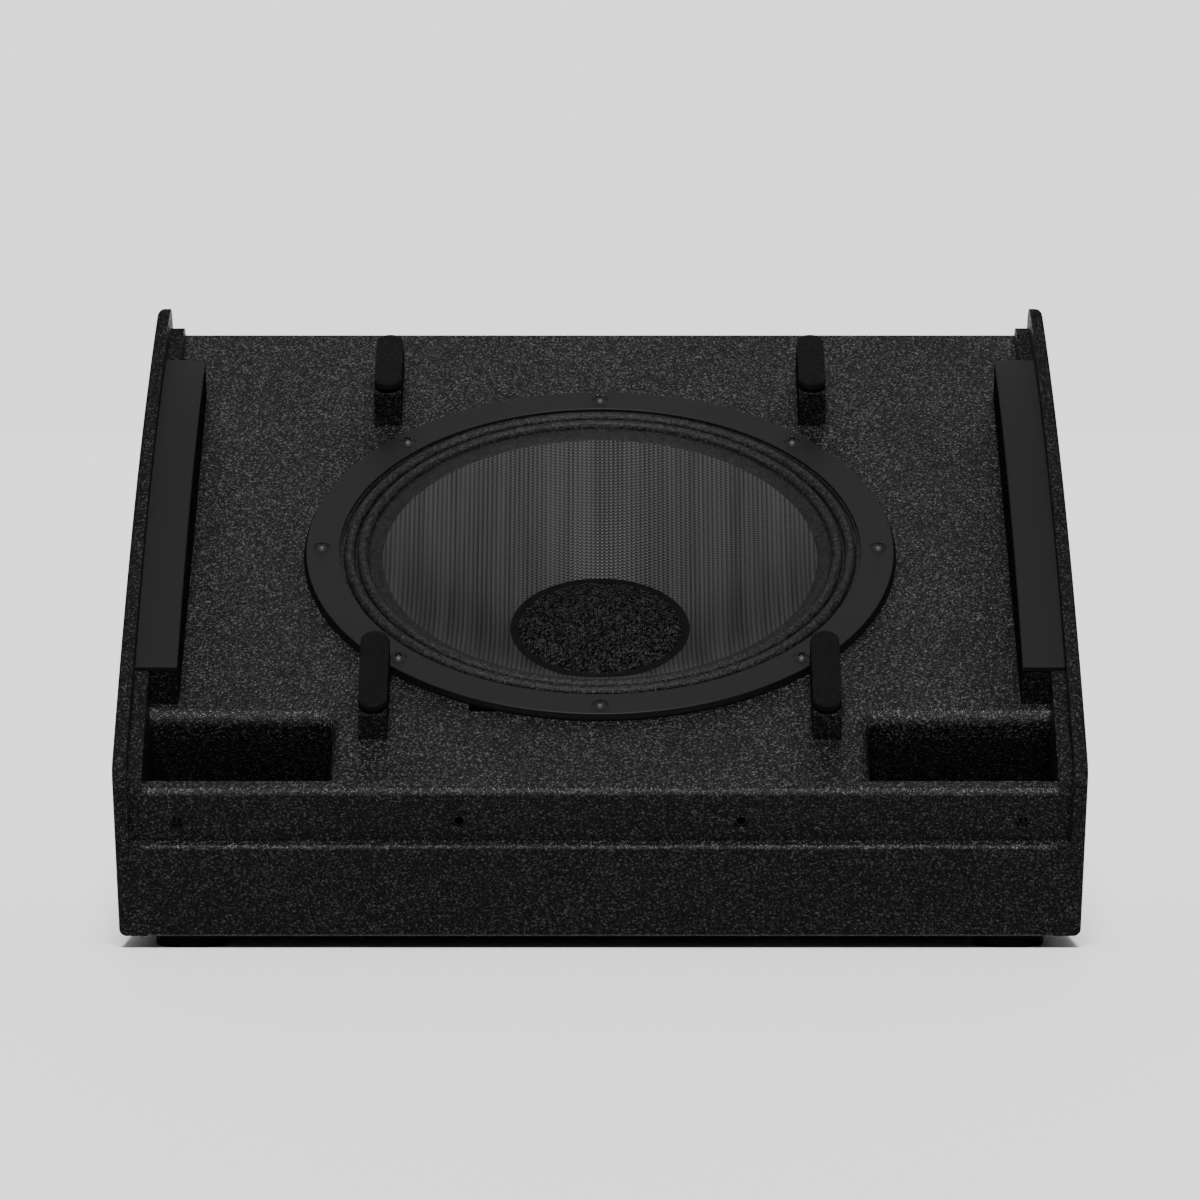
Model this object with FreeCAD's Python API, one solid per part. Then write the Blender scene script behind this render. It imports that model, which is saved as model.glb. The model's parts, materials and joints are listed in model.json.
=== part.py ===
import FreeCAD, Part
import math
import os

from FreeCAD import Placement, Rotation, Vector

# Stage monitor wedge with a 15 inch coaxial driver, its grille taken off.
# World frame: X to the right as the listener sees the front, front towards -Y, up +Z.
# The origin is on the floor, under the middle of the cabinet.
# Baffle frame: x as in the world, y up the slope of the baffle, z outwards along the driver axis.
# Its origin is the centre of the driver, on the front of its trim ring. "Left" is -X.

# Cabinet (mm)
WIDTH = 617.0
PLY = 18.0
SLOPE = 31.6                # baffle above horizontal, degrees
FOOT_HEIGHT = 8.0
DRIVER_HEIGHT = 252.7       # driver centre above the floor
BAFFLE_FACE = -5.0          # z of the painted baffle, below the trim ring
FRONT_Y = -286.5            # front panel face, square to the baffle
REAR_Y = 281.0              # upper rear panel face, square to the baffle
KNEE_DEPTH = 90.0           # how far the upper rear panel runs down before the vertical one
EDGE_ROUND = 5.0
BOARD_ROUND = 3.0           # top edge of the baffle
KNEE_ROUND = 12.0

# Curved side lips that frame the grille
LIP_WIDTH = 9.0
LIP_CREST = 44.5
LIP_BEND = 1750.0
LEDGE_CREST = 35.0
LEDGE_BEND = 1300.0
CREST_Y = 9.7               # where both curves are highest
FRONT_ROUND = 13.0
REAR_ROUND = 27.0
RAIL_RECESS = 7.0           # grille edge recess in the front panel
RAIL_TOP = -2.0
RAIL_FOOT = -40.5
RAIL_ROUND = 4.5
STEP_ROUND = 2.5

# Driver
FLANGE_R = 196.0
TRIM_BORE_R = 173.7
BOLT_R = 185.5
BOLTS = 8
CUTOUT_R = 177.5
SURROUND_R = 173.0
CONE_R = 153.3
CONE_EDGE_R = 145.0
CAP_R = 60.3
CAP_DEPTH = 65.6
COIL_R = 49.6
FORMER_R = 50.1             # outside of the coil former
SPIDER_Z = -85.0
PLATE_TOP = -102.0          # motor, front to back
MAGNET_TOP = -114.0
MAGNET_BASE = -136.0
YOKE_BASE = -148.0
POLE_TOP = -100.0
THROAT_R = 18.0
HF_BACK = -172.0
HF_COVER_R = 69.0
HF_COVER_BACK = -205.0
MOTOR_R = 104.0
CLOTH_THICK = 0.8
FLANGE_BACK = -4.2          # z of the back of the basket's flange
SEAT = -2.0                 # z of the basket's seat for trim ring and surround
HOLE_R = 3.0
SCREW_HOLE_R = 2.8
BARREL_R = 4.0              # threaded barrel of the driver's T-nuts
BARREL_LONG = 10.0
PRY_NOTCH = ((-84.7, -186.5, -11.0), (-66.5, -168.0, 0.0))
FIT_GAP = 0.3

# Ports, grille supports, feet
PORT_INNER_X = 172.0
PORT_TOP_Y = -191.0
PORT_DEPTH = 80.0
PORT_ROUND = 9.0
PORT_CORNER = 10.0
DUCT_WALL = 12.0
BATTEN_X = 272.0
BATTEN_FROM = -178.0
BATTEN_TO = 197.0
STRIP_THICK = 3.0
POST_X = 145.5
POST_WIDTH = 18.5
POST_LONG = 77.0
POST_ENDS = (-218.0, 237.0)
POST_LOW = 18.65            # pad height above the trim ring at the outer end
POST_HIGH = 25.5            # and at the inner end
PAD_THICK = 4.75
GRILLE_HOLE_X = (89.6, 268.8)
GRILLE_HOLE_Z = -26.6
GRILLE_HOLE_R = 4.5
NUT_FLANGE_R = 9.0
THREAD_R = 3.0
FOOT_X = 263.6
FOOT_INSET = 30.0
FOOT_R = 23.0
FOOT_SCREW_R = 1.9
BRACE_TALL = 55.0
BRACE_FROM_REAR = 45.0

# Rear connector plate and side handles (world frame)
PLATE = (166.0, 96.0, 2.0)
PLATE_Z = 150.0
PLATE_RECESS = 8.0
PLATE_MARGIN = 2.0          # gap round the plate
PLATE_RIM = 13.0            # ledge behind the plate
SOCKET_X = 38.0
SOCKET_R = 12.0
SOCKET_BACK = 24.0          # barrel length behind the plate's face
HANDLE_Y = 85.0
HANDLE_Z = 185.0
HANDLE_FLANGE = (176.0, 118.0, 2.5)
HANDLE_POCKET = (150.0, 92.0, 62.0)
HANDLE_CORNER = 14.0
HANDLE_WALL = 3.0
HANDLE_BAR_R = 11.0
BOARD = (110.0, 140.0, 1.6)
BOARD_CENTRE = (-195.0, 105.0)
BOARD_LIFT = 10.0

SIN = math.sin(math.radians(SLOPE))
COS = math.cos(math.radians(SLOPE))
HALF = WIDTH / 2
INNER_X = HALF - PLY
LIP_X = HALF - LIP_WIDTH
BAFFLE_BACK = BAFFLE_FACE - PLY
FRONT_BACK = FRONT_Y + PLY


def lip_corner(edge_y, rounding, side, crest=LIP_CREST, bend=LIP_BEND):
    """Centre (y, z) of the round between the curved lip and a face square to the baffle."""
    y = edge_y - side * rounding
    z = crest - bend + math.sqrt((bend - rounding) ** 2 - (y - CREST_Y) ** 2)
    return y, z


_front = lip_corner(FRONT_Y, FRONT_ROUND, -1)
_nose_y = _front[0] * COS - _front[1] * SIN - FRONT_ROUND
_tail_y = REAR_Y * COS + KNEE_DEPTH * SIN
DRIVER_Y = -(_nose_y + _tail_y) / 2
REAR_WALL_Y = DRIVER_Y + _tail_y
TILT = Placement(Vector(0, DRIVER_Y, DRIVER_HEIGHT), Rotation(Vector(1, 0, 0), SLOPE))


# --- geometry helpers -----------------------------------------------------------------

def tilted(shape):
    """Move a shape from the baffle frame to the world."""
    shape.Placement = TILT.multiply(shape.Placement)
    return shape


def floor_point(y, z):
    """A world (y, z) point as a baffle frame vector."""
    return TILT.inverse().multVec(Vector(0, y, z))


def floor_depth(y, height):
    """Baffle frame z at which the line y meets the given world height."""
    return (height - DRIVER_HEIGHT - y * SIN) / COS


def line(start, end):
    return Part.LineSegment(start, end).toShape()


def bow(centre, radius, start, end):
    """Arc in the plane x = 0 about (y, z), between two angles in radians."""
    turns = (start, (start + end) / 2, end)
    return Part.Arc(*[Vector(0, centre[0] + radius * math.cos(t), centre[1] + radius * math.sin(t))
                      for t in turns]).toShape()


def rounded(before, corner, after, radius):
    """Start, middle and end of the arc that rounds a corner."""
    back = (before - corner).normalize()
    ahead = (after - corner).normalize()
    half = back.getAngle(ahead) / 2
    reach = radius / math.tan(half)
    middle = (back + ahead).normalize() * (radius / math.sin(half) - radius)
    return corner + back * reach, corner + middle, corner + ahead * reach


def loop(points):
    """Edges of a closed outline with straight sides."""
    return [line(a, b) for a, b in zip(points, points[1:] + points[:1])]


def across(points, low=-INNER_X, high=INNER_X):
    """Solid made by pushing a (y, z) outline sideways from low to high."""
    outline = loop([Vector(low, y, z) for y, z in points])
    return Part.Face(Part.Wire(outline)).extrude(Vector(high - low, 0, 0))


def spun(points):
    """Turned solid from (radius, z) points about the driver axis."""
    return turned(loop([Vector(r, 0, z) for r, z in points]))


def turned(edges):
    return Part.Face(Part.Wire(edges)).revolve(Vector(), Vector(0, 0, 1), 360)


def cyl(radius, low, high, x=0.0, y=0.0):
    return Part.makeCylinder(radius, high - low, Vector(x, y, low))


def block(low, high):
    size = [b - a for a, b in zip(low, high)]
    return Part.makeBox(*size, Vector(*low))


def mirrored(shape):
    return shape.mirror(Vector(), Vector(1, 0, 0))


def around(count, first=90.0):
    return [first + i * 360.0 / count for i in range(count)]


def ring_of(shape, angles):
    """Copies of a shape, made on the +X axis, turned about the driver axis."""
    copies = []
    for angle in angles:
        copy = shape.copy()
        copy.rotate(Vector(), Vector(0, 0, 1), angle)
        copies.append(copy)
    return Part.makeCompound(copies)


def soften(shape, radius, chosen):
    """Round the edges that the test picks."""
    return shape.makeFillet(radius, [edge for edge in shape.Edges if chosen(edge)])


def tube(points, radius):
    """Round lead along straight runs joined by tangent arcs as large as the runs allow."""
    edges = []
    last = points[0]
    for before, corner, after in zip(points, points[1:], points[2:]):
        half = (before - corner).getAngle(after - corner) / 2
        run = min((before - corner).Length, (after - corner).Length)
        start, middle, end = rounded(before, corner, after, 0.45 * run * math.tan(half))
        edges += [line(last, start), Part.Arc(start, middle, end).toShape()]
        last = end
    edges.append(line(last, points[-1]))
    ring = Part.Wire(Part.makeCircle(radius, points[0], points[1] - points[0]))
    return Part.Wire(edges).makePipeShell([ring], True, False)


def save(name, shape):
    os.makedirs("parts", exist_ok=True)
    shape.exportStep("parts/" + name + ".step")


# --- cabinet --------------------------------------------------------------------------

def side_edges(front_y, crest, bend, step=None, front_round=FRONT_ROUND):
    """Outline of a side panel: floor, two rear faces, curved top and square front."""
    front = lip_corner(front_y, front_round, -1, crest, bend)
    rear = lip_corner(REAR_Y, REAR_ROUND, 1, crest, bend)
    centre = (CREST_Y, crest - bend)
    front_turn = math.atan2(front[1] - centre[1], front[0] - centre[0])
    rear_turn = math.atan2(rear[1] - centre[1], rear[0] - centre[0])
    shoulder = Vector(0, REAR_Y, rear[1])
    knee = Vector(0, REAR_Y, -KNEE_DEPTH)
    heel = floor_point(REAR_WALL_Y, FOOT_HEIGHT)
    toe = Vector(0, FRONT_Y, floor_depth(FRONT_Y, FOOT_HEIGHT))
    chin = [Vector(0, front_y, front[1])]
    if step is not None:
        chin += [Vector(0, front_y, step), Vector(0, FRONT_Y, step)]
    edges = [bow(front, front_round, math.pi, front_turn), bow(centre, bend, front_turn, rear_turn),
             bow(rear, REAR_ROUND, rear_turn, 0)]
    stops = [shoulder, knee, heel, toe, chin[-1]]
    last = shoulder
    rounds = (KNEE_ROUND, EDGE_ROUND, EDGE_ROUND)
    for before, corner, after, radius in zip(stops, stops[1:], stops[2:], rounds):
        start, middle, end = rounded(before, corner, after, radius)
        edges += [line(last, start), Part.Arc(start, middle, end).toShape()]
        last = end
    for point in reversed(chin):
        edges.append(line(last, point))
        last = point
    return edges


def side_layer(edges, low, high):
    solid = Part.Face(Part.Wire(edges)).extrude(Vector(high - low, 0, 0))
    solid.translate(Vector(low, 0, 0))
    return solid


def envelope():
    """What the panels between the sides may fill, in the baffle frame."""
    edges = side_edges(FRONT_Y + RAIL_RECESS, LEDGE_CREST, LEDGE_BEND, RAIL_FOOT, EDGE_ROUND)
    return side_layer(edges, -INNER_X, INNER_X)


def side_panel():
    """Right side: a tall outer lip, a lower grille ledge inside it, and the handle opening."""
    lip = side_layer(side_edges(FRONT_Y, LIP_CREST, LIP_BEND), INNER_X, HALF)
    lip = soften(lip, EDGE_ROUND, lambda edge: edge.BoundBox.XMin > HALF - 0.01)
    ledge_edges = side_edges(FRONT_Y + RAIL_RECESS, LEDGE_CREST, LEDGE_BEND, RAIL_FOOT)
    over_ledge = block((INNER_X - 1, FRONT_Y - 1, RAIL_FOOT), (LIP_X, REAR_Y + 1, LIP_CREST + 1))
    over_ledge = over_ledge.cut(side_layer(ledge_edges, INNER_X - 2, LIP_X + 1))
    panel = tilted(lip.cut(over_ledge))
    long, tall, thick = HANDLE_FLANGE
    panel = panel.cut(handle_block(long, tall, HALF - thick, HALF + 1))
    panel = panel.cut(handle_block(*HANDLE_POCKET[:2], INNER_X - 1, HALF))
    return panel.cut(handle_screw_shanks())


def handle_block(long, tall, low, high):
    """A box with rounded upright corners, centred on the handle."""
    box = block((low, HANDLE_Y - long / 2, HANDLE_Z - tall / 2),
                (high, HANDLE_Y + long / 2, HANDLE_Z + tall / 2))
    return soften(box, HANDLE_CORNER, lambda edge: edge.BoundBox.XLength > 0.9 * (high - low))


def baffle_panel():
    """Sloping front board with the driver cut-out, two port mouths and a pry notch."""
    board = across([(FRONT_BACK, BAFFLE_BACK), (REAR_Y, BAFFLE_BACK),
                    (REAR_Y, BAFFLE_FACE), (FRONT_BACK, BAFFLE_FACE)])
    board = soften(board, BOARD_ROUND, lambda edge: is_long_edge(edge, REAR_Y, BAFFLE_FACE))
    for port in (port_bore(), mirrored(port_bore())):
        board = board.cut(port)
    board = soften(board, PORT_ROUND, is_port_mouth)
    board = board.cut(cyl(CUTOUT_R, BAFFLE_BACK - 1, 1))
    nut_well = cyl(BARREL_R, BAFFLE_BACK - 1, BAFFLE_BACK + BARREL_LONG + 1, BOLT_R)
    for hole in (cyl(HOLE_R, BAFFLE_BACK - 1, 0, BOLT_R), nut_well):
        board = board.cut(ring_of(hole, around(BOLTS)))
    for x in (-GRILLE_HOLE_X[0], GRILLE_HOLE_X[0]):
        board = board.cut(grille_bore(NUT_FLANGE_R + 0.5, FRONT_BACK - 1, FRONT_BACK + 2, x))
    return tilted(board.cut(block(*PRY_NOTCH)))


def port_bore():
    """The right port: a slot from the mouth to the inner end of its duct."""
    slot = block((PORT_INNER_X, FRONT_BACK, BAFFLE_FACE - PORT_DEPTH - 1), (INNER_X, PORT_TOP_Y, 1))
    return soften(slot, PORT_CORNER, lambda edge: edge.BoundBox.ZLength > PORT_DEPTH
                  and edge.BoundBox.XMax < PORT_INNER_X + 1 and edge.BoundBox.YMin > PORT_TOP_Y - 1)


def is_port_mouth(edge):
    """Edges of a port on the baffle face, away from the panel's own border."""
    across_x, up_y = abs(edge.CenterOfMass.x), edge.CenterOfMass.y
    inside = PORT_INNER_X - 1 < across_x < INNER_X - 1 and FRONT_BACK + 1 < up_y < PORT_TOP_Y + 1
    return inside and edge.BoundBox.ZMin > BAFFLE_FACE - 0.01


def port_duct():
    """L-shaped board behind the right port, closed by the side and front panels."""
    outer = block((PORT_INNER_X - DUCT_WALL, FRONT_BACK, BAFFLE_FACE - PORT_DEPTH),
                  (INNER_X, PORT_TOP_Y + DUCT_WALL, BAFFLE_BACK))
    return outer.cut(port_bore())


def front_panel():
    """Front board: flush below, with a recessed upper rail for the grille edge."""
    rail_y = FRONT_Y + RAIL_RECESS
    toe = floor_depth(FRONT_Y, FOOT_HEIGHT) - 1
    heel = floor_depth(FRONT_BACK, FOOT_HEIGHT) - 1
    board = across([(FRONT_Y, toe), (FRONT_BACK, heel), (FRONT_BACK, RAIL_TOP), (rail_y, RAIL_TOP),
                    (rail_y, RAIL_FOOT), (FRONT_Y, RAIL_FOOT)])
    board = board.common(envelope())
    board = soften(board, RAIL_ROUND, lambda edge: is_long_edge(edge, rail_y, RAIL_TOP))
    board = soften(board, STEP_ROUND, lambda edge: is_long_edge(edge, FRONT_Y, RAIL_FOOT))
    for x in grille_hole_xs():
        board = board.cut(grille_bore(GRILLE_HOLE_R, FRONT_Y - 1, FRONT_BACK + 1, x))
    return tilted(board)


def is_long_edge(edge, y, z):
    box = edge.BoundBox
    return box.XLength > 100 and abs(edge.CenterOfMass.y - y) < 0.01 and abs(edge.CenterOfMass.z - z) < 0.01


def grille_hole_xs():
    return [side * x for x in GRILLE_HOLE_X for side in (-1, 1)]


def grille_bore(radius, low, high, x):
    """Cylinder along the panel's thickness at a grille screw hole."""
    return Part.makeCylinder(radius, high - low, Vector(x, low, GRILLE_HOLE_Z), Vector(0, 1, 0))


def rear_planes():
    """Outer and inner corner of the knee between the two rear panels, in the baffle frame."""
    outer = Vector(0, REAR_Y, -KNEE_DEPTH)
    inside_wall = floor_point(REAR_WALL_Y - PLY, 0)
    inner = Vector(0, REAR_Y - PLY, inside_wall.z + (REAR_Y - PLY - inside_wall.y) * COS / SIN)
    return outer, inner


def rear_upper_panel():
    outer, inner = rear_planes()
    board = across([(REAR_Y, BAFFLE_BACK), (REAR_Y - PLY, BAFFLE_BACK), (inner.y, inner.z),
                    (outer.y, outer.z)])
    return tilted(board.common(envelope()))


def rear_panel():
    """Upright rear board with a recess and cut-out for the connector plate."""
    outer, inner = rear_planes()
    heel = floor_point(REAR_WALL_Y, FOOT_HEIGHT - 1)
    inside_heel = floor_point(REAR_WALL_Y - PLY, FOOT_HEIGHT - 1)
    board = across([(outer.y, outer.z), (inner.y, inner.z), (inside_heel.y, inside_heel.z),
                    (heel.y, heel.z)])
    board = tilted(board.common(envelope()))
    recess = plate_block(-PLATE_MARGIN, REAR_WALL_Y - PLATE_RECESS, REAR_WALL_Y + 1)
    hole = plate_block(PLATE_RIM, REAR_WALL_Y - PLY - 1, REAR_WALL_Y)
    return board.cut(recess).cut(hole).cut(Part.makeCompound(plate_screw_shanks()))


def plate_block(inset, low, high):
    """Box of the connector plate's outline, drawn in by an inset, between two depths."""
    half_long, half_tall = PLATE[0] / 2 - inset, PLATE[1] / 2 - inset
    return block((-half_long, low, PLATE_Z - half_tall), (half_long, high, PLATE_Z + half_tall))


def bottom_panel():
    """Floor board between the front and rear boards, drilled for the feet."""
    top = FOOT_HEIGHT + PLY
    front_low = TILT.multVec(Vector(0, FRONT_BACK, floor_depth(FRONT_BACK, FOOT_HEIGHT)))
    front_high = TILT.multVec(Vector(0, FRONT_BACK, floor_depth(FRONT_BACK, top)))
    board = across([(front_low.y, FOOT_HEIGHT), (REAR_WALL_Y - PLY, FOOT_HEIGHT),
                    (REAR_WALL_Y - PLY, top), (front_high.y, top)])
    for x, y in foot_places():
        board = board.cut(cyl(FOOT_SCREW_R + 0.1, FOOT_HEIGHT - 1, FOOT_HEIGHT + 14, x, y))
    return board


def cross_brace():
    """Rail on edge across the floor board, behind the motor."""
    back = REAR_WALL_Y - PLY - BRACE_FROM_REAR
    base = FOOT_HEIGHT + PLY
    return block((-INNER_X, back - PLY, base), (INNER_X, back, base + BRACE_TALL))


# --- grille supports ------------------------------------------------------------------

def ledge_ring(low, high, x_low, x_high):
    """Slice of the grille curve between two heights above the ledge, over the batten's length."""
    centre = (CREST_Y, LEDGE_CREST - LEDGE_BEND)
    spans = [math.acos((y - CREST_Y) / LEDGE_BEND) for y in (BATTEN_FROM, BATTEN_TO)]
    outer = bow(centre, LEDGE_BEND + high, *spans)
    inner = bow(centre, LEDGE_BEND + low, *spans)
    edges = [outer, line(outer.Vertexes[-1].Point, inner.Vertexes[-1].Point), inner,
             line(inner.Vertexes[0].Point, outer.Vertexes[0].Point)]
    solid = Part.Face(Part.Wire(Part.sortEdges(edges)[0])).extrude(Vector(x_high - x_low, 0, 0))
    solid.translate(Vector(x_low, 0, 0))
    return solid


def side_batten():
    """Right batten: ply on edge beside the ledge, its top on the same curve."""
    stock = block((BATTEN_X, BATTEN_FROM, BAFFLE_FACE), (INNER_X, BATTEN_TO, LEDGE_CREST + 5))
    ledge = side_layer(side_edges(FRONT_Y, LEDGE_CREST, LEDGE_BEND), BATTEN_X - 1, INNER_X + 1)
    return tilted(stock.common(ledge))


def grille_strip():
    """Right foam strip, on the batten and the ledge."""
    strip = ledge_ring(0.0, STRIP_THICK, BATTEN_X, LIP_X)
    return tilted(soften(strip, 1.0, lambda edge: edge.BoundBox.YLength > 300
                         and edge.BoundBox.ZMax > LEDGE_CREST + 1))


def post_ends(upper):
    """Outer and inner end of a post, as y."""
    outer = POST_ENDS[1 if upper else 0]
    return outer, outer + (-POST_LONG if upper else POST_LONG)


def post_block(x, upper):
    """Tapered ply block that carries a grille pad."""
    outer, inner = post_ends(upper)
    low = POST_LOW - PAD_THICK
    high = POST_HIGH - PAD_THICK
    sides = (x - POST_WIDTH / 2, x + POST_WIDTH / 2)
    body = across([(outer, BAFFLE_FACE), (inner, BAFFLE_FACE), (inner, high), (outer, low)], *sides)
    return tilted(soften(body, 1.0, lambda edge: edge.BoundBox.ZMin > low - 1))


def post_pad(x, upper):
    """Foam pad with round ends, on a post."""
    outer, inner = post_ends(upper)
    middle = (outer + inner) / 2
    half = POST_WIDTH / 2
    over = POST_HIGH + 1
    plan = block((x - half, middle - POST_LONG / 2, 0), (x + half, middle + POST_LONG / 2, over))
    plan = soften(plan, half - 0.05, lambda edge: edge.BoundBox.ZLength > POST_HIGH)
    layer = across([(outer, POST_LOW - PAD_THICK), (inner, POST_HIGH - PAD_THICK),
                    (inner, POST_HIGH), (outer, POST_LOW)], x - half - 1, x + half + 1)
    return tilted(plan.common(layer))


def grille_t_nuts():
    """Four T-nuts behind the rail, threaded for the grille screws."""
    nuts = []
    for x in grille_hole_xs():
        barrel = grille_bore(GRILLE_HOLE_R, FRONT_BACK - 8, FRONT_BACK, x)
        nut = barrel.fuse(grille_bore(NUT_FLANGE_R, FRONT_BACK, FRONT_BACK + 1.5, x))
        nuts.append(nut.cut(grille_bore(THREAD_R, FRONT_BACK - 9, FRONT_BACK + 2, x)))
    return tilted(Part.makeCompound(nuts))


# --- feet -----------------------------------------------------------------------------

def foot_places():
    """World (x, y) of the four feet, front pair first."""
    toe = TILT.multVec(Vector(0, FRONT_Y, floor_depth(FRONT_Y, FOOT_HEIGHT))).y
    rows = (toe + FOOT_INSET, REAR_WALL_Y - FOOT_INSET)
    return [(side * FOOT_X, y) for y in rows for side in (-1, 1)]


def foot(x, y):
    """Rubber foot with a well for its screw."""
    body = Part.makeCone(FOOT_R - 0.6, FOOT_R, FOOT_HEIGHT, Vector(x, y, 0))
    body = soften(body, 2.5, lambda edge: edge.BoundBox.ZMax < 0.01)
    return body.cut(cyl(6.0, -1, 4.5, x, y)).cut(cyl(2.4, 4, FOOT_HEIGHT + 1, x, y))


def foot_screws():
    screws = []
    for x, y in foot_places():
        head = cyl(5.0, 2.0, 4.5, x, y)
        slot = block((x - 4, y - 0.6, 1.9), (x + 4, y + 0.6, 3.2))
        screws.append(head.cut(slot).fuse(cyl(FOOT_SCREW_R, 4.5, FOOT_HEIGHT + 13, x, y)))
    return Part.makeCompound(screws)


# --- driver ---------------------------------------------------------------------------

def basket():
    """Cast frame: flange, windowed cone and the floor that the motor bolts to."""
    shell = spun([(172.5, SEAT - CLOTH_THICK), (178.3, SEAT - CLOTH_THICK), (178.3, SEAT), (FLANGE_R, SEAT),
                  (FLANGE_R, FLANGE_BACK), (176.5, FLANGE_BACK), (176.5, -20.0), (124.0, -84.0),
                  (MOTOR_R, -92.0), (MOTOR_R, -102.0),
                  (62.0, -102.0), (62.0, -97.0), (83.0, -97.0), (83.0, -85.0), (97.0, -85.0),
                  (119.0, -81.0), (172.5, -17.0)])
    window = Part.makeCylinder(200, 42, Vector(0, 0, -72), Vector(0, 0, 1), 32)
    shell = shell.cut(ring_of(window, around(BOLTS, 6.5)))
    return tilted(shell.cut(ring_of(cyl(SCREW_HOLE_R, -5, 0, BOLT_R), around(BOLTS))))


def driver_trim():
    """Smooth ring on the flange that clamps the rim of the surround."""
    ring = spun([(TRIM_BORE_R, SEAT), (FLANGE_R, SEAT), (FLANGE_R, 0.0), (TRIM_BORE_R, 0.0)])
    ring = soften(ring, 0.7, lambda edge: edge.BoundBox.ZMin > -0.01 and edge.BoundBox.XLength > 300)
    return tilted(ring.cut(ring_of(cyl(SCREW_HOLE_R, -5, 1, BOLT_R), around(BOLTS))))


def driver_gasket():
    inner, outer = CUTOUT_R + 1.5, FLANGE_R - 0.5
    ring = spun([(inner, BAFFLE_FACE), (outer, BAFFLE_FACE), (outer, FLANGE_BACK), (inner, FLANGE_BACK)])
    return tilted(ring.cut(ring_of(cyl(HOLE_R, -6, 0, BOLT_R), around(BOLTS))))


def driver_screws():
    """Domed screws with a cross recess."""
    head_r, head_h = 5.65, 3.0
    dome_r = (head_r ** 2 + head_h ** 2) / (2 * head_h)
    dome = Part.makeSphere(dome_r, Vector(BOLT_R, 0, head_h - dome_r))
    dome = dome.common(cyl(head_r, 0, head_h + 1, BOLT_R))
    for size in ((3.0, 0.7), (0.7, 3.0)):
        dome = dome.cut(block((BOLT_R - size[0], -size[1], 1.2), (BOLT_R + size[0], size[1], 4)))
    screw = dome.fuse(cyl(2.4, -30, 0, BOLT_R))
    return tilted(ring_of(screw, around(BOLTS)))


def driver_t_nuts():
    barrel = cyl(BARREL_R, BAFFLE_BACK, BAFFLE_BACK + BARREL_LONG, BOLT_R)
    nut = barrel.fuse(cyl(8.0, BAFFLE_BACK - 1.5, BAFFLE_BACK, BOLT_R))
    return tilted(ring_of(nut.cut(cyl(2.5, -40, 0, BOLT_R)), around(BOLTS)))


def wave(stops, crests, thick):
    """Turned sheet whose section runs through arcs: stops and crests are (radius, z)."""
    edges = []
    for drop in (0.0, -thick):
        for a, m, b in zip(stops, crests, stops[1:]):
            points = [Vector(r, 0, z + drop) for r, z in (a, m, b)]
            edges.append(Part.Arc(*points).toShape())
    for r, z in (stops[0], stops[-1]):
        edges.append(line(Vector(r, 0, z), Vector(r, 0, z - thick)))
    return turned(Part.sortEdges(edges)[0])


def surround():
    """Double roll edge of the cone, with a flat rim under the trim ring."""
    under = SEAT - CLOTH_THICK
    rim = spun([(SURROUND_R, under), (178.0, under), (178.0, SEAT), (SURROUND_R, SEAT)])
    rolls = wave([(SURROUND_R, SEAT), (162.3, -3.2), (CONE_R + FIT_GAP, -3.6)],
                 [(168.0, 1.4), (157.9, 0.4)], CLOTH_THICK)
    return tilted(rim.fuse(rolls))


def spider():
    """Corrugated cloth ring that centres the coil."""
    inner, outer, folds, depth = FORMER_R + FIT_GAP, 86.0, 6, 1.8
    under, over = SPIDER_Z, SPIDER_Z + CLOTH_THICK
    pitch = (outer - inner) / folds
    stops = [(inner + i * pitch, over) for i in range(folds + 1)]
    crests = [(inner + (i + 0.5) * pitch, over + (depth if i % 2 else -depth)) for i in range(folds)]
    rim = spun([(outer, under), (92.0, under), (92.0, over), (outer, over)])
    return tilted(rim.fuse(wave(stops, crests, CLOTH_THICK)))


def cone_profile():
    """(radius, z) of the cone's front: treated edge, then the straight flank to the neck."""
    edge_z = -7.5
    fall = (CAP_DEPTH + edge_z) / (CONE_EDGE_R - CAP_R)
    return [(CONE_R, -4.4), (CONE_EDGE_R, edge_z), (FORMER_R, edge_z - (CONE_EDGE_R - FORMER_R) * fall)]


def cone():
    """Pressed cone of even thickness."""
    thick = 1.5
    front = cone_profile()
    return tilted(spun(front + [(r, z - thick) for r, z in reversed(front)]))


def dust_cap():
    """Mesh dome with a flat glued rim, over the voice coil."""
    rise, base_r, base = 11.0, CAP_R - 5.8, -CAP_DEPTH + 0.6
    thick = 0.7
    dome_r = (base_r ** 2 + rise ** 2) / (2 * rise)
    turn = math.atan2(base_r / 2, math.sqrt(dome_r ** 2 - base_r ** 2 / 4))
    bulge = base + rise - dome_r * (1 - math.cos(turn))
    top = base + rise
    edges = [Part.Arc(Vector(0, 0, top), Vector(base_r / 2, 0, bulge), Vector(base_r, 0, base)).toShape(),
             line(Vector(base_r, 0, base), Vector(CAP_R, 0, base)),
             line(Vector(CAP_R, 0, base), Vector(CAP_R, 0, base - 0.6)),
             line(Vector(CAP_R, 0, base - 0.6), Vector(base_r, 0, base - thick)),
             Part.Arc(Vector(base_r, 0, base - thick), Vector(base_r / 2, 0, bulge - thick),
                      Vector(0, 0, top - thick)).toShape(),
             line(Vector(0, 0, top - thick), Vector(0, 0, top))]
    return tilted(turned(edges))


def pipe(inner, outer, low, high):
    """Turned ring with a square section."""
    return spun([(inner, low), (outer, low), (outer, high), (inner, high)])


def coil_former():
    return tilted(pipe(COIL_R, FORMER_R, -118, cone_profile()[-1][1] + 1.5))


def voice_coil():
    return tilted(pipe(FORMER_R, FORMER_R + 1.2, -117, -99))


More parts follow.
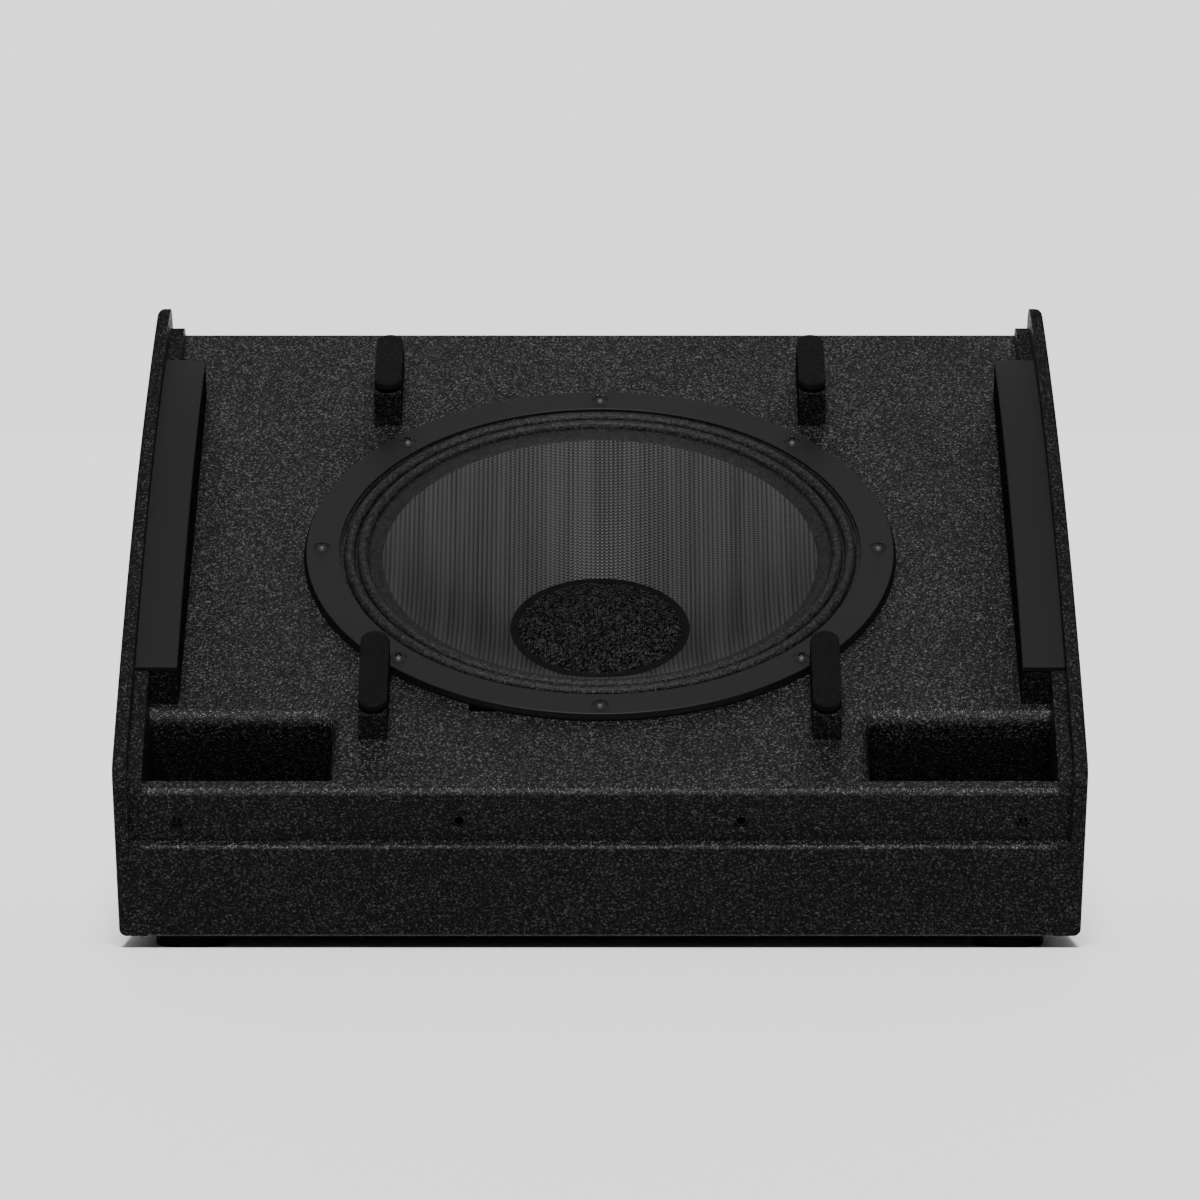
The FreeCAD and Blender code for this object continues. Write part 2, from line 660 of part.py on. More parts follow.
def top_plate():
    return tilted(pipe(51.9, MOTOR_R, MAGNET_TOP, PLATE_TOP))


def magnet():
    return tilted(pipe(60, MOTOR_R - 4, MAGNET_BASE, MAGNET_TOP))


def yoke():
    """Back plate and pole in one, bored for the high frequency throat."""
    return tilted(spun([(THROAT_R, YOKE_BASE), (MOTOR_R, YOKE_BASE), (MOTOR_R, MAGNET_BASE),
                        (48.9, MAGNET_BASE), (48.9, POLE_TOP), (THROAT_R, POLE_TOP)]))


def hf_horn():
    """Throat flare on the pole, behind the dust cap."""
    return tilted(spun([(THROAT_R, POLE_TOP), (THROAT_R + 3, POLE_TOP), (46.5, -77), (43.5, -77)]))


def hf_magnet():
    return tilted(pipe(38.6, 64, HF_BACK, YOKE_BASE))


def hf_phase_plug():
    return tilted(spun([(12, HF_BACK), (36.9, HF_BACK), (36.9, YOKE_BASE), (THROAT_R, YOKE_BASE)]))


def hf_diaphragm():
    """Metal dome with its coil, over the phase plug."""
    shell, base, rise, rim = 0.5, -174.5, 10.0, 37.4
    dome_r = (rim ** 2 + rise ** 2) / (2 * rise)
    bulge = dome_r - math.sqrt(dome_r ** 2 - rim ** 2 / 4)
    edges = [Part.Arc(Vector(0, 0, base - rise), Vector(rim / 2, 0, base - rise + bulge),
                      Vector(rim, 0, base)).toShape(),
             line(Vector(rim, 0, base), Vector(rim, 0, base + 8)),
             line(Vector(rim, 0, base + 8), Vector(rim + shell, 0, base + 8)),
             line(Vector(rim + shell, 0, base + 8), Vector(rim + shell, 0, base - shell)),
             line(Vector(rim + shell, 0, base - shell), Vector(rim, 0, base - shell)),
             Part.Arc(Vector(rim, 0, base - shell), Vector(rim / 2, 0, base - rise + bulge - shell),
                      Vector(0, 0, base - rise - shell)).toShape(),
             line(Vector(0, 0, base - rise - shell), Vector(0, 0, base - rise))]
    return tilted(turned(edges))


def hf_cover():
    """Rear can of the high frequency unit."""
    wall = 3.0
    can = cyl(HF_COVER_R, HF_COVER_BACK, YOKE_BASE)
    can = soften(can, 4.0, lambda edge: edge.BoundBox.ZMax < HF_COVER_BACK + 0.1
                 and edge.BoundBox.XLength > 100)
    return tilted(can.cut(cyl(HF_COVER_R - wall, HF_COVER_BACK + wall, YOKE_BASE + 1)))


def terminal_block():
    """Low frequency terminals on the side of the basket floor."""
    body = block((-MOTOR_R - 14, -14, -101), (-MOTOR_R + 6, 14, -93))
    body = body.cut(cyl(MOTOR_R, -110, -90))
    for y in (-7, 7):
        body = body.fuse(block((-MOTOR_R - 20, y - 3, -98), (-MOTOR_R - 13, y + 3, -97)))
    return tilted(body)


# --- connector plate, crossover, wiring ------------------------------------------------

def plate_face():
    return REAR_WALL_Y - PLATE_RECESS + PLATE[2]


def along_y(radius, low, high, x, z):
    return Part.makeCylinder(radius, high - low, Vector(x, low, z), Vector(0, 1, 0))


def plate_screw_places():
    reach_x, reach_z = PLATE[0] / 2 - 7, PLATE[1] / 2 - 7
    return [(sx * reach_x, PLATE_Z + sz * reach_z) for sx in (-1, 1) for sz in (-1, 1)]


def plate_screw_shanks():
    back = plate_face() - PLATE[2]
    return [along_y(1.6, back - 9, back + 1, x, z) for x, z in plate_screw_places()]


def input_plate():
    """Steel plate in the rear recess, bored for two speaker sockets."""
    face, thick = plate_face(), PLATE[2]
    plate = soften(plate_block(0, face - thick, face), 5.0, lambda edge: edge.BoundBox.YLength > 0.9 * thick)
    bores = [(1.8, x, z) for x, z in plate_screw_places()]
    bores += [(1.5, x, z) for x, z in socket_screw_places()]
    bores += [(SOCKET_R + 0.2, x, PLATE_Z) for x in (-SOCKET_X, SOCKET_X)]
    for radius, x, z in bores:
        plate = plate.cut(along_y(radius, face - 5, face + 1, x, z))
    return plate


def socket_screw_places():
    """Two screws on a slant for each socket."""
    return [(x + side * 9.5, PLATE_Z + side * 12) for x in (-SOCKET_X, SOCKET_X) for side in (-1, 1)]


def speaker_socket(x):
    """Round locking socket: flange, barrel and keyed centre post."""
    face = plate_face()
    flange = block((x - 13, face, PLATE_Z - 15.5), (x + 13, face + 2.5, PLATE_Z + 15.5))
    flange = soften(flange, 3.0, lambda edge: edge.BoundBox.YLength > 2)
    body = flange.fuse(along_y(SOCKET_R, face - SOCKET_BACK, face + 2.5, x, PLATE_Z))
    body = body.cut(along_y(SOCKET_R - 1.6, face - 20, face + 3, x, PLATE_Z))
    for screw_x, screw_z in socket_screw_places():
        body = body.cut(along_y(1.5, face - 1, face + 3, screw_x, screw_z))
    post = along_y(4.8, face - 21, face - 3, x, PLATE_Z)
    key = block((x - 1.2, face - 20, PLATE_Z - 10.6), (x + 1.2, face - 2, PLATE_Z - 8.8))
    return body.fuse(post).fuse(key)


def plate_screws():
    """Four plate screws and two for each socket."""
    face = plate_face()
    screws = []
    for x, z in plate_screw_places():
        screws.append(along_y(3.2, face, face + 2, x, z).fuse(along_y(1.5, face - 10, face, x, z)))
    for x, z in socket_screw_places():
        head = along_y(2.6, face + 2.5, face + 4.3, x, z)
        screws.append(head.fuse(along_y(1.3, face - 5, face + 2.5, x, z)))
    return Part.makeCompound(screws)


def board_base():
    return FOOT_HEIGHT + PLY + BOARD_LIFT


def board_corners():
    x0, y0 = BOARD_CENTRE
    reach_x, reach_y = BOARD[0] / 2 - 7, BOARD[1] / 2 - 7
    return [(x0 + sx * reach_x, y0 + sy * reach_y) for sx in (-1, 1) for sy in (-1, 1)]


def crossover_board():
    x0, y0 = BOARD_CENTRE
    half_x, half_y, thick = BOARD[0] / 2, BOARD[1] / 2, BOARD[2]
    base = board_base()
    board = block((x0 - half_x, y0 - half_y, base), (x0 + half_x, y0 + half_y, base + thick))
    for x, y in board_corners():
        board = board.cut(cyl(2.0, base - 1, base + 3, x, y))
    return board


def board_spacers():
    low = FOOT_HEIGHT + PLY
    return Part.makeCompound([cyl(4.5, low, board_base(), x, y) for x, y in board_corners()])


def inductors():
    """Wound coils on the crossover board."""
    x0, y0 = BOARD_CENTRE
    top = board_base() + BOARD[2]
    coils = []
    for x, y, radius, tall in ((x0 - 22, y0 - 34, 24, 26), (x0 + 22, y0 + 4, 19, 20)):
        core = cyl(radius * 0.45, top - 1, top + tall + 1, x, y)
        coils.append(cyl(radius, top, top + tall, x, y).cut(core))
    return Part.makeCompound(coils)


def capacitors():
    """Film capacitors lying on the board."""
    x0, y0 = BOARD_CENTRE
    top = board_base() + BOARD[2]
    cans = []
    for i, radius in enumerate((10.0, 9.0, 7.5)):
        start = Vector(x0 - 45, y0 + 14 + i * 22, top + radius)
        cans.append(Part.makeCylinder(radius, 42, start, Vector(1, 0, 0)))
    return Part.makeCompound(cans)


def wiring():
    """Sleeved leads: sockets to crossover, crossover to both halves of the driver."""
    lead = 3.0
    x0, y0 = BOARD_CENTRE
    top = board_base() + BOARD[2]
    back = plate_face() - SOCKET_BACK
    inlet = [Vector(-SOCKET_X, back, PLATE_Z), Vector(-SOCKET_X, back - 30, PLATE_Z),
             Vector(-SOCKET_X - 30, back - 56, PLATE_Z - 18), Vector(-SOCKET_X - 74, back - 62, PLATE_Z - 44),
             Vector(x0 + 66, y0 + 60, 84), Vector(x0 + 42, y0 + 46, 70), Vector(x0 + 42, y0 + 46, top)]
    low_end = TILT.multVec(Vector(-MOTOR_R - 20, 7, -97.5))
    low = [Vector(x0 + 44, y0 - 40, top), Vector(x0 + 44, y0 - 40, top + 34),
           Vector(x0 + 52, y0 - 44, top + 78),
           low_end + Vector(-30, 22, -20), low_end + Vector(-20, 0, 0), low_end]
    high_end = TILT.multVec(Vector(-HF_COVER_R - 0.1, 0, -190))
    high = [Vector(x0 + 40, y0 - 10, top), Vector(x0 + 40, y0 - 10, top + 26),
            Vector(x0 + 62, y0 - 8, top + 44),
            high_end + Vector(-24, 0, 0), high_end]
    return Part.makeCompound([tube(route, lead) for route in (inlet, low, high)])


# --- side handles ---------------------------------------------------------------------

def handle_cup():
    """Right handle: flange, pocket and a grip bar across its mouth."""
    long, tall, deep = HANDLE_POCKET
    flange_long, flange_tall, flange_thick = HANDLE_FLANGE
    flange = handle_block(flange_long, flange_tall, HALF - flange_thick, HALF)
    cup = flange.fuse(handle_block(long, tall, HALF - deep, HALF))
    inside_long, inside_tall = long - 2 * HANDLE_WALL, tall - 2 * HANDLE_WALL
    cup = cup.cut(handle_block(inside_long, inside_tall, HALF - deep + HANDLE_WALL, HALF + 1))
    reach = inside_long / 2 + 1
    bar = along_y(HANDLE_BAR_R, HANDLE_Y - reach, HANDLE_Y + reach, HALF - 16, HANDLE_Z + 16)
    for y, z in handle_screw_places():
        cup = cup.cut(along_x(4.2, HALF - 1.6, HALF + 1.4, y, z))
        cup = cup.cut(along_x(2.2, HALF - 4, HALF + 1, y, z))
    return cup.fuse(bar)


def along_x(radius, low, high, y, z):
    return Part.makeCylinder(radius, high - low, Vector(low, y, z), Vector(1, 0, 0))


def handle_screw_places():
    """(y, z) of the four screws of a handle."""
    reach_y, reach_z = HANDLE_FLANGE[0] / 2 - 7, HANDLE_FLANGE[1] / 2 - 22
    return [(HANDLE_Y + sy * reach_y, HANDLE_Z + sz * reach_z) for sy in (-1, 1) for sz in (-1, 1)]


def handle_screw_shanks():
    return Part.makeCompound([along_x(2.0, HALF - 14, HALF, y, z) for y, z in handle_screw_places()])


def handle_screws():
    """Flush screws of both handles."""
    right = []
    for y, z in handle_screw_places():
        head = along_x(4.0, HALF - 1.6, HALF - 0.2, y, z)
        right.append(head.fuse(along_x(1.9, HALF - 13, HALF - 1, y, z)))
    side = Part.makeCompound(right)
    return Part.makeCompound([side, mirrored(side)])


# --- write every node -----------------------------------------------------------------

def write_pairs():
    """Nodes that exist once on each side."""
    makers = {"side_panel": side_panel, "port_duct": lambda: tilted(port_duct()), "side_batten": side_batten,
              "grille_strip": grille_strip, "handle_cup": handle_cup}
    for name, make in makers.items():
        right = make()
        save(name + "_right", right)
        save(name + "_left", mirrored(right))


def write_posts():
    for row, upper in (("lower", False), ("upper", True)):
        for side, x in (("left", -POST_X), ("right", POST_X)):
            save("post_block_" + row + "_" + side, post_block(x, upper))
            save("post_pad_" + row + "_" + side, post_pad(x, upper))


def write_feet():
    for name, (x, y) in zip(("front_left", "front_right", "rear_left", "rear_right"), foot_places()):
        save("foot_" + name, foot(x, y))
    save("foot_screws", foot_screws())


def write_singles():
    for make in (baffle_panel, front_panel, bottom_panel, rear_upper_panel, rear_panel, cross_brace,
                 grille_t_nuts, basket, driver_trim, driver_gasket, driver_screws, driver_t_nuts,
                 surround, spider, cone, dust_cap, coil_former, voice_coil, top_plate, magnet, yoke,
                 hf_horn, hf_magnet, hf_phase_plug, hf_diaphragm, hf_cover, terminal_block,
                 input_plate, plate_screws, crossover_board, board_spacers, inductors, capacitors,
                 wiring, handle_screws):
        save(make.__name__, make())
    save("speaker_socket_left", speaker_socket(-SOCKET_X))
    save("speaker_socket_right", speaker_socket(SOCKET_X))


write_pairs()
write_posts()
write_feet()
write_singles()
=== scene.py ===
import json
import math

import bpy
import numpy as np
from bpy.props import FloatProperty, FloatVectorProperty, IntProperty, PointerProperty
from mathutils import Matrix, Vector


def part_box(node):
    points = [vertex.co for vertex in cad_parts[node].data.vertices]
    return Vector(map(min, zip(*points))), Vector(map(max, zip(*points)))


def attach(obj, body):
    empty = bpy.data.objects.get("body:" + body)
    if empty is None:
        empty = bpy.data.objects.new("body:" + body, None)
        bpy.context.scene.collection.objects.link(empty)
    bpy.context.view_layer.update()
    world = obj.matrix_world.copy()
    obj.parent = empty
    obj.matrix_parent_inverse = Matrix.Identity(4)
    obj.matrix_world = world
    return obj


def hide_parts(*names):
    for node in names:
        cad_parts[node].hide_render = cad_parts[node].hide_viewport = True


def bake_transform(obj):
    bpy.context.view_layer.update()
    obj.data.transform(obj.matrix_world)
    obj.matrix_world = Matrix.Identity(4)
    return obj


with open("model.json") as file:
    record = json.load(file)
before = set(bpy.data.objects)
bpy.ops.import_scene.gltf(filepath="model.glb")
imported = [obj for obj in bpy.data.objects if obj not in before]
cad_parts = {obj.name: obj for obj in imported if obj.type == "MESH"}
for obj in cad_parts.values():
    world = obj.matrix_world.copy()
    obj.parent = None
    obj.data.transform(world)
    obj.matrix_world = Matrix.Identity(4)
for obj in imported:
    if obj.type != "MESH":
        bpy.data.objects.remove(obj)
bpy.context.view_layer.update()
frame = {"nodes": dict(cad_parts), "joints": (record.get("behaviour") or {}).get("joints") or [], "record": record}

bl_info = {
    "name": "Stage monitor wedge",
    "version": (1, 0, 0),
    "blender": (4, 5, 0),
    "location": "3D View > Sidebar > Wedge",
    "description": "Soft parts, driver diaphragm and finishes of a sloped floor loudspeaker",
    "category": "Object",
}

MM = 0.001
NEAR = 1e-6                 # distance under which two points are one
SATIN = 0.16                # specular level of most of the black finishes
CABINET, CONE_BODY = "cabinet", "cone_assembly"
SIDES = ("left", "right")


# --- places read from the frame --------------------------------------------------------

def driver_axis():
    joint = next(j for j in frame["joints"] if j["name"] == "cone_travel")
    return Vector(joint["axis"]).normalized()


def middle(node):
    low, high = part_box(node)
    return (low + high) / 2


AXIS = driver_axis()
SLOPE = math.atan2(-AXIS.y, AXIS.z)
TRIM_THICK = 2 * MM
DRIVER = middle("driver_trim") + AXIS * TRIM_THICK / 2
BAFFLE = Matrix.Translation(DRIVER) @ Matrix.Rotation(SLOPE, 4, "X")
ACROSS = Vector((1, 0, 0))
UP_SLOPE = Vector((0, math.cos(SLOPE), math.sin(SLOPE)))


def local_points(node):
    """A CAD node's vertices in the baffle frame: x across, y up the slope, z along the driver axis."""
    back = BAFFLE.inverted()
    return np.array([back @ v.co for v in frame["nodes"][node].data.vertices])


def local_box(node):
    points = local_points(node)
    return Vector(points.min(0)), Vector(points.max(0))


def radius_of(node):
    points = local_points(node)
    return float(np.hypot(points[:, 0], points[:, 1]).max())


# --- sizes and colours -----------------------------------------------------------------

class WedgeSizes(bpy.types.PropertyGroup):
    """Sizes that the finish work is built from"""
    ring_steps: IntProperty(name="Ring steps", description="Divisions around the driver", default=192, min=48)
    roll_steps: IntProperty(name="Roll steps", description="Divisions across one surround roll",
                            default=10, min=4)
    roll_rise: FloatProperty(name="Roll rise", description="Height of the outer surround roll",
                             default=5.2 * MM, unit="LENGTH")
    sheet_thick: FloatProperty(name="Cloth thickness", description="Thickness of surround and spider",
                               default=0.7 * MM, unit="LENGTH")
    cone_thick: FloatProperty(name="Cone thickness", description="Thickness of the cone",
                              default=1.2 * MM, unit="LENGTH")
    cap_rise: FloatProperty(name="Cap rise", description="Height of the dust cap's dome",
                            default=11 * MM, unit="LENGTH")
    # Black rim of gasket beyond the flange, drawn as the flange's dark outline.
    gasket_outline_rim: FloatProperty(name="Gasket squeeze", description="Gasket showing round the flange",
                                  default=1.5 * MM, unit="LENGTH")
    foam_round: FloatProperty(name="Foam edge", description="Rounding of cut foam edges",
                              default=0.8 * MM, unit="LENGTH")
    pad_thick: FloatProperty(name="Pad thickness", description="Thickness of the pads on the posts",
                             default=4.7 * MM, unit="LENGTH")
    grain: FloatProperty(name="Paint grain", description="Size of one grain of the textured paint",
                         default=1.1 * MM, unit="LENGTH")
    weave: FloatProperty(name="Cone weave", description="Distance between threads of the cone cloth",
                         default=1.9 * MM, unit="LENGTH")
    mesh: FloatProperty(name="Cap mesh", description="Distance between threads of the dust cap mesh",
                        default=1.5 * MM, unit="LENGTH")


def colour(name, description, value):
    return FloatVectorProperty(name=name, description=description, subtype="COLOR", size=3,
                               min=0, max=1, default=value)


class WedgeColours(bpy.types.PropertyGroup):
    """Base colours of the finishes"""
    paint: colour("Paint", "Textured cabinet paint", (0.0047, 0.0047, 0.0048))
    foam: colour("Foam", "Foam strips under the grille", (0.0044, 0.0044, 0.0045))
    pad: colour("Pads", "Softer foam on the posts", (0.0013, 0.0013, 0.0013))
    trim: colour("Trim ring", "Ring over the driver's flange", (0.0050, 0.0050, 0.0051))
    surround: colour("Surround", "Doped cloth of the surround", (0.007, 0.007, 0.0072))
    cone: colour("Cone", "Woven face of the cone", (0.0087, 0.0087, 0.009))
    cap: colour("Dust cap", "Mesh of the dust cap", (0.0066, 0.0066, 0.0067))
    rubber: colour("Rubber", "Feet and gaskets", (0.0006, 0.0006, 0.0006))
    plastic: colour("Plastic", "Black mouldings", (0.006, 0.006, 0.0062))
    steel: colour("Steel", "Plated steel", (0.42, 0.42, 0.40))
    copper: colour("Copper", "Enamelled wire", (0.55, 0.20, 0.07))
    plywood: colour("Plywood", "Bare birch", (0.50, 0.34, 0.19))


# --- shader writing --------------------------------------------------------------------

class Value:
    """A shader socket that sums can be written with."""

    def __init__(self, owner, socket):
        self.owner = owner
        self.socket = socket

    def maths(self, operation, *terms):
        return self.owner.node("ShaderNodeMath", {"operation": operation}, dict(enumerate(terms)))

    def __add__(self, other):
        return self.maths("ADD", self, other)

    def __radd__(self, other):
        return self.maths("ADD", other, self)

    def __sub__(self, other):
        return self.maths("SUBTRACT", self, other)

    def __rsub__(self, other):
        return self.maths("SUBTRACT", other, self)

    def __mul__(self, other):
        return self.maths("MULTIPLY", self, other)

    def __rmul__(self, other):
        return self.maths("MULTIPLY", other, self)

    def __truediv__(self, other):
        return self.maths("DIVIDE", self, other)

    def __rtruediv__(self, other):
        return self.maths("DIVIDE", other, self)

    def __pow__(self, other):
        return self.maths("POWER", self, other)

    def __abs__(self):
        return self.maths("ABSOLUTE", self)

    def __mod__(self, other):
        return self.maths("FLOORED_MODULO", self, other)

    def sine(self):
        return self.maths("SINE", self)

    def floor(self):
        return self.maths("FLOOR", self)

    def above(self, limit):
        return self.maths("GREATER_THAN", self, limit)


class ShaderTree:
    """A material's or a world's nodes, and the one way of adding to them."""

    def __init__(self, owner):
        owner.use_nodes = True
        self.tree = owner.node_tree

    def node(self, kind, settings=None, inputs=None, output=0):
        """Add a node: its settings first, then its sockets' values or links."""
        made = self.tree.nodes.new(kind)
        for key, value in (settings or {}).items():
            setattr(made, key, value)
        for key, value in (inputs or {}).items():
            if isinstance(value, Value):
                self.tree.links.new(value.socket, made.inputs[key])
            else:
                made.inputs[key].default_value = value
        return Value(self, made.outputs[output])


class Finish(ShaderTree):
    """One material: a Principled shader and the nodes that feed it."""

    def __init__(self, name, base, roughness=0.5, **fixed):
        self.material = bpy.data.materials.new(name)
        super().__init__(self.material)
        self.material.diffuse_color = (*base, 1)
        self.base = tuple(base)
        self.shader = self.tree.nodes["Principled BSDF"]
        self.shader.inputs["Base Color"].default_value = (*base, 1)
        self.shader.inputs["Roughness"].default_value = roughness
        self.shader.inputs["Specular IOR Level"].default_value = SATIN
        for key, value in fixed.items():
            self.shader.inputs[key.replace("_", " ")].default_value = value

    def place(self):
        return self.node("ShaderNodeTexCoord", output="Object")

    def centred(self):
        """Object place measured from the driver's centre."""
        return self.node("ShaderNodeVectorMath", {"operation": "SUBTRACT"}, {0: self.place(), 1: DRIVER})

    def along(self, direction):
        """Distance from the driver's centre along a direction, in metres."""
        return self.node("ShaderNodeVectorMath", {"operation": "DOT_PRODUCT"},
                         {0: self.centred(), 1: direction}, output="Value")

    def noise(self, size, detail=2.0, roughness=0.5, place=None):
        return self.node("ShaderNodeTexNoise", {"noise_dimensions": "3D"},
                         {"Vector": place or self.place(), "Scale": 1 / size, "Detail": detail,
                          "Roughness": roughness})

    def cells(self, size, feature="F1", output="Distance"):
        """Distance from the middle of the nearest cell."""
        return self.node("ShaderNodeTexVoronoi", {"feature": feature},
                         {"Vector": self.place(), "Scale": 1 / size}, output)

    def cell_shade(self, size):
        """A random shade from 0 to 1 for each cell."""
        return self.cells(size, output="Color")

    def stretched(self, scale):
        """Object place turned into the baffle frame and scaled."""
        turned = self.node("ShaderNodeVectorRotate", {"rotation_type": "X_AXIS"},
                           {"Vector": self.centred(), "Angle": -SLOPE})
        return self.node("ShaderNodeVectorMath", {"operation": "MULTIPLY"}, {0: turned, 1: scale})

    def ramp(self, value, low, high):
        """Value mapped from low..high to 0..1, clamped."""
        return self.node("ShaderNodeMapRange", {"clamp": True},
                         {"Value": value, "From Min": low, "From Max": high, "To Min": 0.0, "To Max": 1.0})

    def mix(self, share, first, second):
        first = (*first, 1) if isinstance(first, tuple) else first
        second = (*second, 1) if isinstance(second, tuple) else second
        return self.node("ShaderNodeMix", {"data_type": "RGBA"}, {0: share, 6: first, 7: second}, output=2)

    def tint(self, share, low=0.6, high=1.4):
        """Base colour between a darker and a lighter version of itself."""
        self.feed("Base Color", self.mix(share, shade(self.base, low), shade(self.base, high)))

    def feed(self, socket, value):
        self.tree.links.new(value.socket, self.shader.inputs[socket])

    def relief(self, height, depth):
        """Bump of a height from 0 to 1, depth metres deep."""
        self.feed("Normal", self.node("ShaderNodeBump", None, {"Height": height, "Distance": depth}))
        return self


def shade(base, factor):
    return tuple(min(1.0, c * factor) for c in base)


# --- finishes --------------------------------------------------------------------------

def textured_paint(sizes, colours, name="textured_paint", factor=1.0, gloss=0.15, pits=0.02, sparkle=11.0):
    """Sprayed texture paint: hard rounded grains with pits between them.

    Pits and sparkle are the shades of the darkest and the brightest grains.
    """
    finish = Finish(name, shade(colours.paint, factor), 0.5, Specular_IOR_Level=gloss)
    grains = 1 - finish.cells(sizes.grain)
    lit = finish.cell_shade(sizes.grain)
    fine = finish.noise(sizes.grain * 1.6, 2.0, 0.65)
    patch = finish.noise(60 * MM, 2.0)
    speck = finish.ramp(lit * 0.6 + fine * 0.8 + patch * 0.1, 0.6, 1.05)
    finish.tint(speck ** 2.8, pits, sparkle)
    finish.feed("Roughness", 0.55 - 0.35 * speck)
    return finish.relief(grains * 0.6 + fine * 0.4 + lit * 0.3, 0.55 * MM).material


def thin_paint(sizes, colours):
    """The same paint, matt and with weaker specks: painted shade for the port ducts, post blocks and side battens,
    which lie in shade.
    """
    return textured_paint(sizes, colours, "thin_paint", 1.8, gloss=0.0, pits=0.45, sparkle=3.2)


def dull_paint(sizes, colours):
    """The same paint without its sheen: painted shade on the front board's face, which looks down the slope, and
    on the side panels' edges, where it takes away their glints.
    """
    return textured_paint(sizes, colours, "dull_paint", 2.4, gloss=0.0, pits=0.45, sparkle=3.2)


def foam(sizes, colours):
    """Closed cell foam tape: smooth skin, faint mottling and tiny pores."""
    finish = Finish("grille_foam", colours.foam, 0.72)
    mottle = finish.noise(7 * MM, 2.0)
    pores = finish.cells(0.5 * MM)
    finish.tint(mottle * 0.8 + pores * 0.2, 0.85, 1.15)
    finish.feed("Roughness", 0.66 + 0.12 * mottle)
    return finish.relief(pores * 0.4 + mottle * 0.2, 0.03 * MM).material


def pad_foam(sizes, colours):
    """Open celled foam of the pads, mottled where hands have pressed it."""
    finish = Finish("pad_foam", colours.pad, 0.9, Specular_IOR_Level=0.1)
    mottle = finish.noise(6 * MM, 3.0, 0.6)
    pores = finish.cells(0.9 * MM)
    finish.tint(finish.ramp(mottle + pores * 0.25, 0.4, 0.9), 0.5, 1.8)
    return finish.relief(pores + mottle * 0.4, 0.12 * MM).material


def trim_ring(sizes, colours):
    """Smooth moulded ring with a satin face and faint handling marks."""
    finish = Finish("trim_ring", colours.trim, 0.5)
    smear = finish.noise(22 * MM, 3.0)
    skin = finish.noise(0.6 * MM, 2.0)
    finish.tint(smear, 0.88, 1.14)
    finish.feed("Roughness", 0.46 + 0.14 * smear)
    return finish.relief(skin, 0.012 * MM).material


def surround_cloth(sizes, colours):
    """Cloth under a tacky dope: fine threads blurred by the coating."""
    finish = Finish("surround_cloth", colours.surround, 0.45)
    dope = finish.noise(1.7 * MM, 2.0, 0.6)
    threads = plain_weave(finish, 1.1 * MM)
    nap = finish.cell_shade(1.3 * MM)
    finish.tint(finish.ramp(dope * 0.8 + threads * 0.2 + nap * 0.4, 0.5, 1.05) ** 1.6, 0.1, 4.6)
    finish.feed("Roughness", 0.42 + 0.2 * dope)
    return finish.relief(threads * 0.8 + dope * 0.6, 0.35 * MM).material


def plain_weave(finish, pitch, across=None, upward=None):
    """Height of a plain weave laid over the baffle plane: threads pass over and under by turns."""
    u = (across or finish.along(ACROSS)) * (1 / pitch)
    v = (upward or finish.along(UP_SLOPE)) * (1 / pitch)
    warp = abs((u * math.pi).sine())
    weft = abs((v * math.pi).sine())
    over = (u.floor() + v.floor()) % 2.0
    return warp * (0.35 + 0.65 * over) * 0.5 + weft * (1 - 0.65 * over) * 0.5


def cone_cloth(sizes, colours):
    """Woven fibre face of the cone, with soft bands where the threads bunch."""
    finish = Finish("cone_cloth", colours.cone, 0.5)
    columns = abs((finish.along(ACROSS) * (math.pi / (sizes.weave * 1.6))).sine())
    rows = abs(((finish.along(UP_SLOPE) / sizes.weave + columns * 0.55) * math.pi).sine())
    threads = columns * 0.4 + rows * 0.6
    bands = finish.noise(1.0, 2.0, 0.5, finish.stretched((70, 2.5, 2.5)))
    strands = finish.noise(1.0, 1.0, 0.5, finish.stretched((520, 9, 9)))
    finish.tint(finish.ramp(threads + bands * 0.7 + strands * 0.35, 0.65, 1.45) ** 1.5, 0.03, 3.2)
    finish.feed("Roughness", 0.4 + 0.2 * bands)
    return finish.relief(threads + strands * 0.3, 0.5 * MM).material


def cone_edge(sizes, colours):
    """Treated edge of the cone: the same cloth, filled and duller."""
    finish = Finish("cone_edge", shade(colours.cone, 0.85), 0.55)
    across, upward = finish.along(ACROSS), finish.along(UP_SLOPE)
    threads = plain_weave(finish, sizes.weave * 0.75, across + upward, upward - across)
    dope = finish.noise(1.6 * MM, 2.0)
    nap = finish.cell_shade(1.5 * MM)
    finish.tint(finish.ramp(threads * 0.6 + dope * 0.4 + nap * 0.5, 0.45, 1.3) ** 1.5, 0.05, 3.0)
    return finish.relief(threads * 0.7 + dope * 0.5, 0.4 * MM).material


def cap_mesh(sizes, colours):
    """Open mesh that lets the high frequency unit through."""
    finish = Finish("cap_mesh", colours.cap, 0.65, Specular_IOR_Level=0.03)
    threads = plain_weave(finish, sizes.mesh)
    fuzz = finish.noise(sizes.mesh * 1.1, 2.0, 0.6)
    holes = finish.cell_shade(sizes.mesh * 0.9)
    finish.tint(finish.ramp(threads * 0.3 + fuzz * 0.5 + holes * 0.9, 0.55, 1.4) ** 2, 0.02, 6.5)
    return finish.relief(threads + fuzz * 0.4, 0.7 * MM).material


def cap_glue(sizes, colours):
    """Black glue that holds the dust cap's rim, darkened further as painted shade along the rim."""
    finish = Finish("cap_glue", shade(colours.cap, 0.4), 0.6, Specular_IOR_Level=0.04)
    ripple = finish.noise(3 * MM, 2.0)
    finish.tint(ripple, 0.6, 1.6)
    return finish.relief(ripple, 0.15 * MM).material


